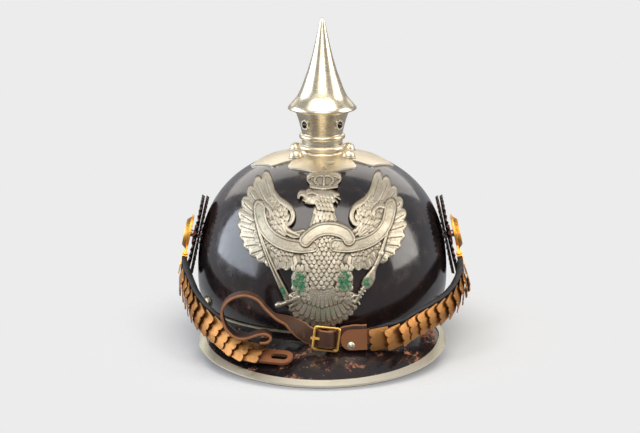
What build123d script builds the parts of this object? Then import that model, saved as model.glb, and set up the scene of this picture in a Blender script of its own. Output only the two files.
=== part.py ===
"""A lacquered leather helmet with a spike, a front plate and chin scales.

Millimetres. +Z is up, the front faces -Y, and the table is at z = 0 under the visor edges.
"""

import os
from math import atan2, cos, degrees, hypot, radians, sin, sqrt

from build123d import *

os.makedirs("parts", exist_ok=True)

# Sizes shared by several pieces
fit_gap = 0.15
running_gap = 0.4
soft_gap = 0.3
overrun = 40.0
stud_brim = 0.6
rivet_brim = 0.3

# Sizes of the skull
skull_half_width = 90.5
skull_half_length = 108.6
skull_top = 132.5
belt_height = 45.0
rim_height = 24.0
rim_half_width = 88.5
skull_wall = 2.8
skull_hole_radius = 13.0
ear_arch_half_length = 46.0
ear_arch_rise = 14.0
dome_power = 2.4
dome_angles = (0, 20, 38, 54, 68, 79, 87)

length_ratio = skull_half_length / skull_half_width
rim_half_length = rim_half_width * length_ratio
rim_taper = (skull_half_width - rim_half_width) / (belt_height - rim_height)
dome_rise = skull_top - belt_height


def turned(plane, angles):
    """A plane turned about its own axes by angles in degrees."""
    return Plane(plane.location * Location((0, 0, 0), angles))


def save(piece, name):
    """Label a finished piece and write it to its own file."""
    piece.part.label = name
    export_step(piece.part, "parts/" + name + ".step")


def dome(grow, bottom):
    """The skull's outer form, grown by a length, lofted through ovals from bottom to crown."""
    foot_half_width = rim_half_width + grow - rim_taper * (rim_height - bottom)
    with BuildPart() as form:
        with BuildSketch(Plane.XY.offset(bottom)):
            Ellipse(foot_half_width, foot_half_width * length_ratio)
        for angle in dome_angles:
            half_width = (skull_half_width + grow) * cos(radians(angle)) ** (2 / dome_power)
            height = belt_height + (dome_rise + grow) * sin(radians(angle)) ** (2 / dome_power)
            with BuildSketch(Plane.XY.offset(height)):
                Ellipse(half_width, half_width * length_ratio)
        loft()
    return form.part


def dome_radius(height):
    """Half width of the skull's outer form at a height, on the section through both ears."""
    if height <= belt_height:
        return skull_half_width - rim_taper * (belt_height - height)
    return skull_half_width * (1 - ((height - belt_height) / dome_rise) ** dome_power) ** (1 / dome_power)


def dome_height(x, y):
    """Height of the skull's outer form over a place in plan."""
    share = hypot(x, y / length_ratio) / skull_half_width
    return belt_height + dome_rise * (1 - share**dome_power) ** (1 / dome_power)


def dome_plane(x, y, z):
    """The plane that touches the skull's outer form at a place, facing outward."""
    reach = hypot(x, y / length_ratio)
    side = 1 / skull_half_width
    rise = 0
    if z > belt_height:
        side = (reach / skull_half_width) ** (dome_power - 1) / skull_half_width
        rise = ((z - belt_height) / dome_rise) ** (dome_power - 1) / dome_rise
    outward = Vector(side * x / reach, side * y / length_ratio**2 / reach, rise)
    return Plane(origin=(x, y, z), z_dir=outward)


def skin(near, far, bottom):
    """A sheet that lies on the skull between two distances from its outer form."""
    with BuildPart() as sheet:
        add(dome(far, bottom))
        add(dome(near, bottom - overrun), mode=Mode.SUBTRACT)
    return sheet.part


def stud(head_radius, head_height, brim, shank_radius, shank_length):
    """A stud with a domed head and a thin brim, standing on its own XY plane."""
    with BuildPart() as pin:
        with BuildSketch(Plane.XZ):
            with BuildLine():
                Line((0, -shank_length), (shank_radius, -shank_length))
                Line((shank_radius, -shank_length), (shank_radius, 0))
                Line((shank_radius, 0), (head_radius + brim, 0))
                Line((head_radius + brim, 0), (head_radius + brim, brim))
                Line((head_radius + brim, brim), (head_radius, brim))
                crown = RadiusArc(
                    (head_radius, brim),
                    (0, head_height),
                    -(head_radius**2 + (head_height - brim) ** 2) / (2 * (head_height - brim)),
                )
                Line((0, head_height), (0, -shank_length))
            make_face()
        revolve(axis=Axis.Z)
    return pin.part


# Sizes of the spike base, where the stud holes start
base_sheet = 1.1
base_stud_x = 18.5
base_stud_y = 14.0
stud_shank_radius = 1.5
stud_clearance = 0.1

base_stud_places = [
    (x, y, dome_height(x, y)) for x in (-base_stud_x, base_stud_x) for y in (-base_stud_y, base_stud_y)
]

# Places of the posts that carry the cockades and the chin scales
ear_y = -2.0
ear_height = 72.0
ear_tilt = 12.5
post_radius = 2.6
post_clearance = 0.2


def ear_plane(side, offset):
    """The plane across the ear post on one side, at an offset out from the skull."""
    outward = Vector(side * cos(radians(ear_tilt)), 0, sin(radians(ear_tilt)))
    reach = sqrt(dome_radius(ear_height) ** 2 - (ear_y / length_ratio) ** 2)
    return Plane(
        origin=Vector(side * reach, ear_y, ear_height) + outward * offset,
        x_dir=(0, side, 0),
        z_dir=outward,
    )


# Places of the stud beside each end of the visor band
side_stud_y = -45.0
side_stud_height = 33.0
side_stud_reach = sqrt(dome_radius(side_stud_height) ** 2 - (side_stud_y / length_ratio) ** 2)

# Places of the two screws that hold the front plate
plate_screw_x = 30.0
plate_screw_height = 88.0
plate_screw_radius = 1.4
plate_screw_y = -length_ratio * sqrt(dome_radius(plate_screw_height) ** 2 - plate_screw_x**2)

# Places of the studs on the back spine
spine_stud_heights = (52.0, 92.0)


def spine_stud_place(height):
    """A place on the middle of the skull's back at a height."""
    return (0, length_ratio * dome_radius(height), height)


# Skull
with BuildPart() as skull:
    add(dome(0, rim_height))
    add(dome(-skull_wall, rim_height - overrun), mode=Mode.SUBTRACT)
    with BuildSketch(Plane.YZ):
        with BuildLine():
            ThreePointArc(
                (-ear_arch_half_length, rim_height),
                (0, rim_height + ear_arch_rise),
                (ear_arch_half_length, rim_height),
            )
            Line((ear_arch_half_length, rim_height), (-ear_arch_half_length, rim_height))
        make_face()
    extrude(amount=skull_half_width + overrun, both=True, mode=Mode.SUBTRACT)
    with BuildSketch(Plane.XY.offset(skull_top)):
        Circle(skull_hole_radius)
    extrude(amount=overrun, both=True, mode=Mode.SUBTRACT)
    for side in (-1, 1):
        with BuildSketch(ear_plane(side, 0)):
            Circle(post_radius + post_clearance)
        extrude(amount=overrun / 2, both=True, mode=Mode.SUBTRACT)
        with BuildSketch(dome_plane(side * side_stud_reach, side_stud_y, side_stud_height)):
            Circle(stud_shank_radius + stud_clearance)
        extrude(amount=overrun / 4, both=True, mode=Mode.SUBTRACT)
        with BuildSketch(dome_plane(side * plate_screw_x, plate_screw_y, plate_screw_height)):
            Circle(plate_screw_radius + stud_clearance)
        extrude(amount=overrun / 4, both=True, mode=Mode.SUBTRACT)
    for place in base_stud_places:
        with BuildSketch(dome_plane(*place)):
            Circle(stud_shank_radius + stud_clearance)
        extrude(amount=overrun / 4, both=True, mode=Mode.SUBTRACT)
    for height in spine_stud_heights:
        with BuildSketch(dome_plane(*spine_stud_place(height))):
            Circle(stud_shank_radius + stud_clearance)
        extrude(amount=overrun / 4, both=True, mode=Mode.SUBTRACT)
save(skull, "skull")

# Sizes of the two visors
visor_drop = 2.9
trim_sheet = 0.6
trim_face = 4.6
trim_stop = 1.3
visor_edge_share = 0.895
visor_corner_run = 9.3
visor_corner_reach = 20.0
visor_corner_y = 48.0

front_apron_half_width = 86.5
front_apron_half_length = 85.0
front_apron_y = -69.0
front_apron_height = 11.3
front_apron_tilt = 6.9

rear_apron_half_width = 88.0
rear_apron_half_length = 90.0
rear_apron_y = 66.0
rear_apron_height = rim_height - (rim_height - visor_drop) / visor_edge_share


def edge_size(rim_size, apron_size):
    """A size of a visor's edge, between the skull's rim and the apron it is cut from."""
    return rim_size + visor_edge_share * (apron_size - rim_size)


def apron(front, lift):
    """The form under a visor's upper face, from the skull's rim outward, raised by lift."""
    half_width = front_apron_half_width if front else rear_apron_half_width
    half_length = front_apron_half_length if front else rear_apron_half_length
    middle = front_apron_y if front else rear_apron_y
    height = front_apron_height if front else rear_apron_height
    tilt = radians(front_apron_tilt) if front else 0
    with BuildPart() as form:
        with BuildSketch(Plane.XY.offset(rim_height + lift)):
            Ellipse(rim_half_width, rim_half_length)
        with BuildSketch(
            Plane(origin=(0, middle, height + lift), x_dir=(1, 0, 0), z_dir=(0, -sin(tilt), cos(tilt)))
        ):
            Ellipse(half_width, half_length)
        loft()
    return form.part


def visor_outline(front, grow):
    """A visor's outline in plan, grown by a length: an oval edge between two slanted ends."""
    way = -1 if front else 1
    half_width = edge_size(rim_half_width, front_apron_half_width if front else rear_apron_half_width)
    half_length = edge_size(rim_half_length, front_apron_half_length if front else rear_apron_half_length)
    middle = edge_size(0, front_apron_y if front else rear_apron_y)
    end_length = hypot(visor_corner_run, visor_corner_reach)
    start_x = (
        rim_half_width * sqrt(1 - (visor_corner_y / rim_half_length) ** 2)
        + grow * visor_corner_reach / end_length
    )
    start_y = visor_corner_y - grow * visor_corner_run / end_length
    far_x = start_x + overrun
    far_y = start_y + overrun * visor_corner_reach / visor_corner_run
    with BuildSketch() as outline:
        with Locations((0, middle)):
            Ellipse(half_width + grow, half_length + grow)
        with BuildLine():
            Polyline(
                (start_x, way * start_y),
                (far_x, way * far_y),
                (far_x, way * (far_y + overrun)),
                (-far_x, way * (far_y + overrun)),
                (-far_x, way * far_y),
                (-start_x, way * start_y),
                close=True,
            )
        make_face(mode=Mode.INTERSECT)
    return outline.sketch


def visor(front):
    """A leather visor: a sloping apron with a flat lip that sits under the skull's rim."""
    with BuildPart() as sheet:
        add(apron(front, 0))
        add(apron(front, -visor_drop), mode=Mode.SUBTRACT)
        with BuildSketch(Plane.XY.offset(-overrun)):
            add(visor_outline(front, 0))
        extrude(amount=rim_height + 2 * overrun, mode=Mode.INTERSECT)
        with BuildSketch(Plane.XY.offset(-overrun)):
            Ellipse(rim_half_width - skull_wall, rim_half_length - skull_wall)
        extrude(amount=rim_height + 2 * overrun, mode=Mode.SUBTRACT)
    return sheet


# Front visor
front_visor = visor(True)
save(front_visor, "front_visor")

# Rear visor
rear_visor = visor(False)
save(rear_visor, "rear_visor")

# Metal trim folded round the front visor's edge
with BuildPart() as front_visor_trim:
    add(apron(True, trim_sheet))
    add(apron(True, -visor_drop - trim_sheet), mode=Mode.SUBTRACT)
    with BuildSketch(Plane.XY.offset(-overrun)):
        add(visor_outline(True, trim_sheet))
        add(visor_outline(True, -trim_face), mode=Mode.SUBTRACT)
    extrude(amount=rim_height + 2 * overrun, mode=Mode.INTERSECT)
    with BuildSketch(Plane.XY.offset(-overrun)):
        Ellipse(rim_half_width + trim_stop, rim_half_length + trim_stop)
    extrude(amount=rim_height + 2 * overrun, mode=Mode.SUBTRACT)
    add(front_visor.part, mode=Mode.SUBTRACT)
save(front_visor_trim, "front_visor_trim")

# Metal band that covers the seam above the front visor
band_sheet = 0.8
band_height = 4.6
band_end_y = -40.0
with BuildPart() as visor_band:
    add(skin(fit_gap, fit_gap + band_sheet, rim_height + fit_gap))
    with BuildSketch(Plane.XY):
        with Locations((0, band_end_y - overrun * 2)):
            Rectangle(2 * skull_half_width + overrun, 4 * overrun)
    extrude(amount=rim_height + fit_gap + band_height, mode=Mode.INTERSECT)
save(visor_band, "visor_band")

# Domed studs beside the ends of the visor band
side_stud_radius = 3.6
side_stud_rise = 3.6
side_stud_seat = 0.75
with BuildPart() as side_studs:
    for side in (-1, 1):
        touch = dome_plane(side * side_stud_reach, side_stud_y, side_stud_height)
        with Locations(touch.offset(side_stud_seat)):
            add(stud(side_stud_radius, side_stud_rise, stud_brim, stud_shank_radius, skull_wall + stud_brim))
save(side_studs, "side_studs")

# Metal spine down the middle of the skull's back and over the rear visor
spine_sheet = 1.0
spine_top_half_width = 5.0
spine_foot_half_width = 9.0
spine_top_y = 54.0
spine_end_gap = 3.0
rear_edge_y = edge_size(0, rear_apron_y) + edge_size(rim_half_length, rear_apron_half_length)
with BuildPart() as rear_spine:
    add(skin(fit_gap, fit_gap + spine_sheet, rim_height + fit_gap))
    add(apron(False, fit_gap + spine_sheet))
    add(apron(False, fit_gap), mode=Mode.SUBTRACT)
    add(dome(fit_gap, rim_height - overrun), mode=Mode.SUBTRACT)
    with BuildSketch(Plane.XY.offset(-overrun)):
        with BuildLine():
            Polyline(
                (-spine_top_half_width, spine_top_y),
                (-spine_foot_half_width, rim_half_length),
                (-spine_foot_half_width, rear_edge_y - spine_end_gap),
                (spine_foot_half_width, rear_edge_y - spine_end_gap),
                (spine_foot_half_width, rim_half_length),
                (spine_top_half_width, spine_top_y),
                close=True,
            )
        make_face()
    extrude(amount=skull_top + 2 * overrun, mode=Mode.INTERSECT)
    for height in spine_stud_heights:
        with BuildSketch(dome_plane(*spine_stud_place(height))):
            Circle(stud_shank_radius + stud_clearance)
        extrude(amount=overrun / 4, both=True, mode=Mode.SUBTRACT)
save(rear_spine, "rear_spine")

# Studs that hold the spine
spine_stud_radius = 3.2
spine_stud_rise = 2.6
spine_stud_seat = length_ratio * (fit_gap + spine_sheet) + fit_gap
with BuildPart() as spine_studs:
    for height in spine_stud_heights:
        with Locations(dome_plane(*spine_stud_place(height)).offset(spine_stud_seat)):
            add(
                stud(
                    spine_stud_radius,
                    spine_stud_rise,
                    stud_brim,
                    stud_shank_radius,
                    spine_stud_seat + length_ratio * skull_wall,
                )
            )
save(spine_studs, "spine_studs")

# Sizes of the spike base
arm_reach = 51.5
arm_corner_reach = 35.0
arm_corner_half_width = 25.0
arm_notch = 20.5
arm_corner_round = 5.0
arm_waist_share = 0.94
arm_tip_share = 0.62
collar_bore = 12.0
collar_radius = 16.2
collar_bead_radius = 17.4
collar_foot_radius = 21.5
collar_foot_height = 132.0
collar_neck_height = 135.2
collar_bead_height = 137.2
seam_height = 140.0


def arm_outline(turn):
    """One leaf of the base in plan, pointing along a direction, with rounded corners."""
    with BuildSketch(Plane.XY.rotated((0, 0, turn))) as leaf:
        with BuildLine():
            Line((0, 0), (arm_notch, arm_notch))
            Line((arm_notch, arm_notch), (arm_corner_reach, arm_corner_half_width))
            Spline(
                (arm_corner_reach, arm_corner_half_width),
                (
                    arm_corner_reach + (arm_reach - arm_corner_reach) * arm_tip_share,
                    arm_corner_half_width * (1 - arm_tip_share) * arm_waist_share,
                ),
                (arm_reach, 0),
            )
            Spline(
                (arm_reach, 0),
                (
                    arm_corner_reach + (arm_reach - arm_corner_reach) * arm_tip_share,
                    -arm_corner_half_width * (1 - arm_tip_share) * arm_waist_share,
                ),
                (arm_corner_reach, -arm_corner_half_width),
            )
            Line((arm_corner_reach, -arm_corner_half_width), (arm_notch, -arm_notch))
            Line((arm_notch, -arm_notch), (0, 0))
        make_face()
        corners = leaf.vertices().filter_by(
            lambda corner: abs(hypot(corner.X, corner.Y) - hypot(arm_corner_reach, arm_corner_half_width))
            < fit_gap
        )
        fillet(corners, radius=arm_corner_round)
    return leaf.sketch


# Places of the flat rivet on the base's front arm
base_rivet_x = 5.0
base_rivet_y = -33.0
base_rivet_place = (base_rivet_x, base_rivet_y, dome_height(base_rivet_x, base_rivet_y))

# Four-armed spike base with its collar
arm_lead_share = 0.35
with BuildPart() as spike_base:
    add(skin(fit_gap, fit_gap + base_sheet, belt_height))
    with BuildSketch(Plane.XY):
        for turn in (0, 90, 180, 270):
            add(arm_outline(turn))
    extrude(amount=skull_top + overrun, mode=Mode.INTERSECT)
    with BuildSketch(Plane.XZ):
        with BuildLine():
            Line((collar_bore, collar_foot_height), (collar_foot_radius, collar_foot_height))
            Spline(
                (collar_foot_radius, collar_foot_height),
                (collar_radius, collar_neck_height),
                tangents=[(-1, arm_lead_share), (0, 1)],
            )
            ThreePointArc(
                (collar_radius, collar_neck_height),
                (collar_bead_radius, collar_bead_height),
                (collar_radius, 2 * collar_bead_height - collar_neck_height),
            )
            Line((collar_radius, 2 * collar_bead_height - collar_neck_height), (collar_radius, seam_height))
            Line((collar_radius, seam_height), (collar_bore, seam_height))
            Line((collar_bore, seam_height), (collar_bore, collar_foot_height))
        make_face()
    revolve(axis=Axis.Z)
    add(dome(fit_gap, belt_height), mode=Mode.SUBTRACT)
    with BuildSketch(Plane.XY.offset(seam_height)):
        Circle(collar_bore)
    extrude(amount=-overrun, mode=Mode.SUBTRACT)
    for place in base_stud_places + [base_rivet_place]:
        with BuildSketch(dome_plane(*place)):
            Circle(stud_shank_radius + stud_clearance)
        extrude(amount=overrun / 8, both=True, mode=Mode.SUBTRACT)
save(spike_base, "spike_base")

# Domed studs round the collar
base_stud_radius = 4.9
base_stud_rise = 5.2
with BuildPart() as base_studs:
    for place in base_stud_places:
        with Locations(dome_plane(*place).offset(fit_gap + base_sheet + fit_gap)):
            add(
                stud(
                    base_stud_radius,
                    base_stud_rise,
                    stud_brim,
                    stud_shank_radius,
                    2 * fit_gap + base_sheet + 2 * skull_wall,
                )
            )
save(base_studs, "base_studs")

# Nuts inside the skull under the domed studs
nut_width = 7.0
nut_height = 2.2
with BuildPart() as base_stud_nuts:
    for place in base_stud_places:
        inside = dome_plane(*place).offset(-skull_wall * length_ratio)
        with BuildSketch(inside):
            RegularPolygon(nut_width / 2, 6, major_radius=False)
            Circle(stud_shank_radius + stud_clearance, mode=Mode.SUBTRACT)
        extrude(amount=-nut_height)
save(base_stud_nuts, "base_stud_nuts")

# Flat rivet on the front arm
base_rivet_radius = 3.0
base_rivet_rise = 0.9
with BuildPart() as base_rivet:
    with Locations(dome_plane(*base_rivet_place).offset(fit_gap + base_sheet + fit_gap)):
        add(
            stud(
                base_rivet_radius,
                base_rivet_rise,
                rivet_brim,
                stud_shank_radius,
                2 * fit_gap + base_sheet,
            )
        )
save(base_rivet, "base_rivet")

# Sizes of the spike
spike_seam = seam_height + soft_gap
spike_tip = 231.0
flange_height = 166.0
flange_radius = 24.8
flange_edge = 1.2
spike_wall = 1.2
tip_radius = 0.7
neck_top_height = 163.4
neck_top_radius = 19.4
neck_wall = 1.3
neck_waist_height = 149.2
neck_waist_radius = 15.1
bead_radius = 16.6
bead_height = 145.0
bead_half_height = 2.1
neck_foot_radius = 14.7
vent_height = 155.2
vent_radius = 2.6
vent_lip = 0.9
vent_rise = 0.7
vent_count = 4

# Height and radius of the cone's outer face, as shares of its height and of its flange radius
cone_shares = [
    (0.034, 0.887),
    (0.100, 0.726),
    (0.166, 0.609),
    (0.300, 0.464),
    (0.431, 0.363),
    (0.566, 0.274),
    (0.698, 0.190),
    (0.831, 0.117),
]
cone_points = [
    (radius_share * flange_radius, flange_height + height_share * (spike_tip - flange_height))
    for height_share, radius_share in cone_shares
]
hollow_points = [(radius - spike_wall, height) for radius, height in cone_points[:-1]]

# Spike cone
with BuildPart() as spike_cone:
    with BuildSketch(Plane.XZ):
        with BuildLine():
            outside = Spline(
                (flange_radius, flange_height), *cone_points, (tip_radius, spike_tip - tip_radius)
            )
            tip = RadiusArc(outside @ 1, (0, spike_tip), -tip_radius)
            Line(tip @ 1, (0, hollow_points[-1][1]))
            Line((0, hollow_points[-1][1]), hollow_points[-1])
            Spline(*reversed(hollow_points))
            Line(hollow_points[0], (neck_top_radius - neck_wall, neck_top_height))
            Line(
                (neck_top_radius - neck_wall, neck_top_height),
                (neck_top_radius + neck_wall, neck_top_height),
            )
            Line(
                (neck_top_radius + neck_wall, neck_top_height),
                (flange_radius - flange_edge, flange_height - flange_edge),
            )
            ThreePointArc(
                (flange_radius - flange_edge, flange_height - flange_edge),
                (flange_radius, flange_height - flange_edge / 2),
                (flange_radius, flange_height),
            )
        make_face()
    revolve(axis=Axis.Z)
save(spike_cone, "spike_cone")

# Vented neck under the cone
with BuildPart() as spike_neck:
    with BuildSketch(Plane.XZ):
        with BuildLine():
            Line((neck_foot_radius - neck_wall, spike_seam), (neck_foot_radius, spike_seam))
            Line((neck_foot_radius, spike_seam), (neck_foot_radius, bead_height - bead_half_height))
            ThreePointArc(
                (neck_foot_radius, bead_height - bead_half_height),
                (bead_radius, bead_height),
                (neck_foot_radius, bead_height + bead_half_height),
            )
            Spline(
                (neck_foot_radius, bead_height + bead_half_height),
                (neck_waist_radius, neck_waist_height),
                (neck_top_radius, neck_top_height),
            )
            Line((neck_top_radius, neck_top_height), (neck_top_radius - neck_wall, neck_top_height))
            Spline(
                (neck_top_radius - neck_wall, neck_top_height),
                (neck_waist_radius - neck_wall, neck_waist_height),
                (neck_foot_radius - neck_wall, bead_height),
            )
            Line((neck_foot_radius - neck_wall, bead_height), (neck_foot_radius - neck_wall, spike_seam))
        make_face()
    revolve(axis=Axis.Z)
    for index in range(vent_count):
        turn = radians(360 * (index + 1 / 2) / vent_count)
        outward = Vector(cos(turn), sin(turn), 0)
        vent_plane = Plane(origin=outward * neck_waist_radius + Vector(0, 0, vent_height), z_dir=outward)
        with BuildSketch(vent_plane):
            Circle(vent_radius + vent_lip)
        extrude(amount=(neck_top_radius - neck_waist_radius) / 2 + vent_rise)
        with BuildSketch(vent_plane):
            Circle(vent_radius)
        extrude(amount=overrun / 2, both=True, mode=Mode.SUBTRACT)
    with BuildSketch(Plane.XY.offset(spike_seam)):
        Circle(neck_foot_radius - neck_wall)
    extrude(amount=neck_top_height - spike_seam, mode=Mode.SUBTRACT)
save(spike_neck, "spike_neck")

# Threaded tube that screws into the base's collar
stem_length = 10.0
stem_wall = 1.6
thread_pitch = 2.0
thread_depth = 0.5
stem_radius = collar_bore - running_gap
stem_turns = 5
with BuildPart() as spike_stem:
    with BuildSketch(Plane.XZ):
        with BuildLine():
            crests = [(stem_radius, spike_seam)]
            for turn in range(stem_turns):
                crests.append((stem_radius - thread_depth, spike_seam - (turn + 1 / 2) * thread_pitch))
                crests.append((stem_radius, spike_seam - (turn + 1) * thread_pitch))
            Polyline(*crests)
            Polyline(
                crests[-1],
                (stem_radius - stem_wall, spike_seam - stem_length),
                (stem_radius - stem_wall, bead_height),
                (neck_foot_radius - neck_wall, bead_height),
                (neck_foot_radius - neck_wall, spike_seam),
                crests[0],
            )
        make_face()
    revolve(axis=Axis.Z)
save(spike_stem, "spike_stem")

# Sizes of the cockades, two fluted discs on each side
cockade_radius = 29.0
cockade_sheet = 1.0
cockade_hub_radius = 8.0
cockade_dish = 1.4
cockade_seat = 1.1
cockade_flutes = 36
flute_depth = 1.0


def cockade(side, seat, dish):
    """A fluted disc on the ear post, dished by a length between its hub and its rim."""
    bore = post_radius + post_clearance
    with BuildPart() as disc:
        with BuildSketch(Plane.XZ):
            with BuildLine():
                Polyline(
                    (bore, 0),
                    (cockade_hub_radius, 0),
                    (cockade_radius, dish),
                    (cockade_radius, dish + cockade_sheet),
                    (cockade_hub_radius, cockade_sheet),
                    (bore, cockade_sheet),
                    close=True,
                )
            make_face()
        revolve(axis=Axis.Z)
        with BuildSketch(Plane.XY.offset(-overrun / 2)):
            with PolarLocations(cockade_radius + flute_depth, cockade_flutes):
                RegularPolygon(2 * flute_depth, 3)
        extrude(amount=overrun, mode=Mode.SUBTRACT)
    with BuildPart() as placed:
        with Locations(ear_plane(side, seat)):
            add(disc.part)
    return placed


cockade_inner_left = cockade(-1, cockade_seat, -cockade_dish / 2)
cockade_inner_right = cockade(1, cockade_seat, -cockade_dish / 2)
cockade_outer_seat = cockade_seat + cockade_sheet + fit_gap
cockade_outer_left = cockade(-1, cockade_outer_seat, cockade_dish)
cockade_outer_right = cockade(1, cockade_outer_seat, cockade_dish)
save(cockade_inner_left, "cockade_inner_left")
save(cockade_inner_right, "cockade_inner_right")
save(cockade_outer_left, "cockade_outer_left")
save(cockade_outer_right, "cockade_outer_right")

# Leather washer between the outer cockade and the rosette
washer_radius = 6.6
washer_height = 2.2
washer_seat = cockade_outer_seat + cockade_sheet + fit_gap


def ear_washer(side):
    """A thick leather washer on the ear post."""
    with BuildPart() as washer:
        with BuildSketch(ear_plane(side, washer_seat)):
            Circle(washer_radius)
            Circle(post_radius + post_clearance, mode=Mode.SUBTRACT)
        extrude(amount=washer_height)
    return washer


ear_washer_left = ear_washer(-1)
ear_washer_right = ear_washer(1)
save(ear_washer_left, "ear_washer_left")
save(ear_washer_right, "ear_washer_right")

# Sizes of the ear post: a shank through the skull with a head that the rosette slides over
washer_gap = 1.9
rosette_seat = washer_seat + washer_height + washer_gap
rosette_back = 1.2
post_head_radius = 4.4
post_head_height = 1.3
post_head_gap = 1.3
post_tail = 6.0
post_head_seat = rosette_seat + rosette_back + post_head_gap


def ear_post(side):
    """The post through the skull, cockades and washer, with its flat head outside."""
    with BuildPart() as post:
        with BuildSketch(ear_plane(side, -skull_wall - post_tail)):
            Circle(post_radius)
        extrude(amount=skull_wall + post_tail + post_head_seat)
        with BuildSketch(ear_plane(side, post_head_seat)):
            Circle(post_head_radius)
        extrude(amount=post_head_height)
    return post


ear_post_left = ear_post(-1)
ear_post_right = ear_post(1)
save(ear_post_left, "ear_post_left")
save(ear_post_right, "ear_post_right")

# Nuts inside the skull on the ear posts
post_nut_width = 10.0
post_nut_height = 3.0
with BuildPart() as ear_post_nuts:
    for side in (-1, 1):
        with BuildSketch(ear_plane(side, -skull_wall - running_gap)):
            RegularPolygon(post_nut_width / 2, 6, major_radius=False)
            Circle(post_radius, mode=Mode.SUBTRACT)
        extrude(amount=-post_nut_height)
save(ear_post_nuts, "ear_post_nuts")

# Sizes of the rosettes
rosette_radius = 13.5
rosette_rim = 1.6
rosette_rise = 4.6
rosette_cavity_radius = 6.2
rosette_lead = 44.0
tongue_reach = 21.0
pin_radius = 1.1
knuckle_radius = 2.1
knuckle_half_length = 3.6
tongue_half_width = knuckle_half_length
rosette_taper = 40
leaf_knuckle_length = 3.2
rosette_bore_gap = 1.0
rosette_bore = post_radius + rosette_bore_gap


def rosette_plane(side, offset):
    """The ear plane turned so that its X axis runs down the rosette's tongue, forward."""
    return turned(ear_plane(side, offset), (0, 0, -90 - side * rosette_lead))


def rosette(side):
    """A domed brass boss over the post's head, with a tongue that ends in a hinge knuckle."""
    face = rosette_plane(side, rosette_seat)
    across = Plane(face.offset(rosette_back / 2).location * Location((tongue_reach, 0, 0), (90, 0, 0)))
    with BuildPart() as boss:
        with BuildSketch(face):
            Circle(rosette_radius)
            with Locations((tongue_reach / 2, 0)):
                Rectangle(tongue_reach, 2 * tongue_half_width)
        extrude(amount=rosette_back)
        with BuildSketch(face):
            Circle(rosette_radius)
        extrude(amount=rosette_rim)
        with BuildSketch(face.offset(rosette_rim)):
            Circle(rosette_radius - rosette_rim)
        extrude(amount=rosette_rise - rosette_rim, taper=rosette_taper)
        with BuildSketch(across):
            Circle(knuckle_radius)
        extrude(amount=knuckle_half_length, both=True)
        with BuildSketch(across):
            Circle(pin_radius + fit_gap)
        extrude(amount=overrun / 4, both=True, mode=Mode.SUBTRACT)
        with BuildSketch(face.offset(-fit_gap)):
            Circle(rosette_bore)
        extrude(amount=rosette_back + 2 * fit_gap, mode=Mode.SUBTRACT)
        with BuildSketch(face.offset(rosette_back)):
            Circle(rosette_cavity_radius)
        extrude(amount=post_head_gap + post_head_height + post_head_gap / 2, mode=Mode.SUBTRACT)
    return boss


rosette_left = rosette(-1)
rosette_right = rosette(1)
save(rosette_left, "rosette_left")
save(rosette_right, "rosette_right")


def hinge_origin(side):
    """The middle of the hinge pin at the end of a rosette's tongue."""
    face = rosette_plane(side, rosette_seat + rosette_back / 2)
    return face.origin + face.x_dir * tongue_reach


def hinge_axis(side):
    """The direction of the hinge pin, which points up and back."""
    face = rosette_plane(side, rosette_seat)
    axis = face.y_dir
    return axis if axis.Z > 0 else axis * -1


def hinge_plane(side):
    """The plane across the hinge pin at its middle."""
    return Plane(origin=hinge_origin(side), x_dir=rosette_plane(side, 0).x_dir, z_dir=hinge_axis(side))


# Hinge pins through the knuckles
pin_head_radius = 1.9
pin_head_height = 0.8
pin_half_length = knuckle_half_length + fit_gap + leaf_knuckle_length + fit_gap
with BuildPart() as hinge_pins:
    for side in (-1, 1):
        middle = hinge_plane(side)
        with BuildSketch(middle.offset(-pin_half_length)):
            Circle(pin_radius)
        extrude(amount=2 * pin_half_length)
        with BuildSketch(middle.offset(pin_half_length)):
            Circle(pin_head_radius)
        extrude(amount=pin_head_height)
        with BuildSketch(middle.offset(-pin_half_length)):
            Circle(pin_head_radius)
        extrude(amount=-pin_head_height)
save(hinge_pins, "hinge_pins")

# Sizes of the chin chain
backing_half_width = 7.0
backing_thickness = 2.6
chain_reach = 124.0
chain_spread = 102.0
chain_drop = 44.0
backing_start = 2.9
backing_steps = 10
left_lean = 64.0
right_lean = 6.0
left_lean_power = 2
start_lean_power = 4
right_lead_share = -0.14
left_lead_share = -0.35

# Places along each chain, as shares of its spread, its reach and its drop below the hinge
right_chain_shares = [
    (0.967, -0.345, 0.270),
    (0.835, -0.590, 0.500),
    (0.610, -0.785, 0.655),
    (0.320, -0.900, 0.755),
]
left_chain_shares = [
    (0.940, -0.345, 0.330),
    (0.820, -0.640, 0.600),
    (0.655, -0.820, 0.810),
    (0.400, -0.975, 0.975),
]


def chain_path(side):
    """The middle line of the backing on one side, from the hinge to its front end."""
    start = hinge_origin(side)
    shares = right_chain_shares if side > 0 else left_chain_shares
    points = [
        Vector(side * x_share * chain_spread, y_share * chain_reach, start.Z - z_share * chain_drop)
        for x_share, y_share, z_share in shares
    ]
    lead = rosette_plane(side, 0).x_dir
    front = Vector(-side, right_lead_share if side > 0 else left_lead_share, 0)
    return Edge.make_spline([start + lead * backing_start, *points], tangents=[lead, front])


chain_paths = {side: chain_path(side) for side in (-1, 1)}


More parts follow.
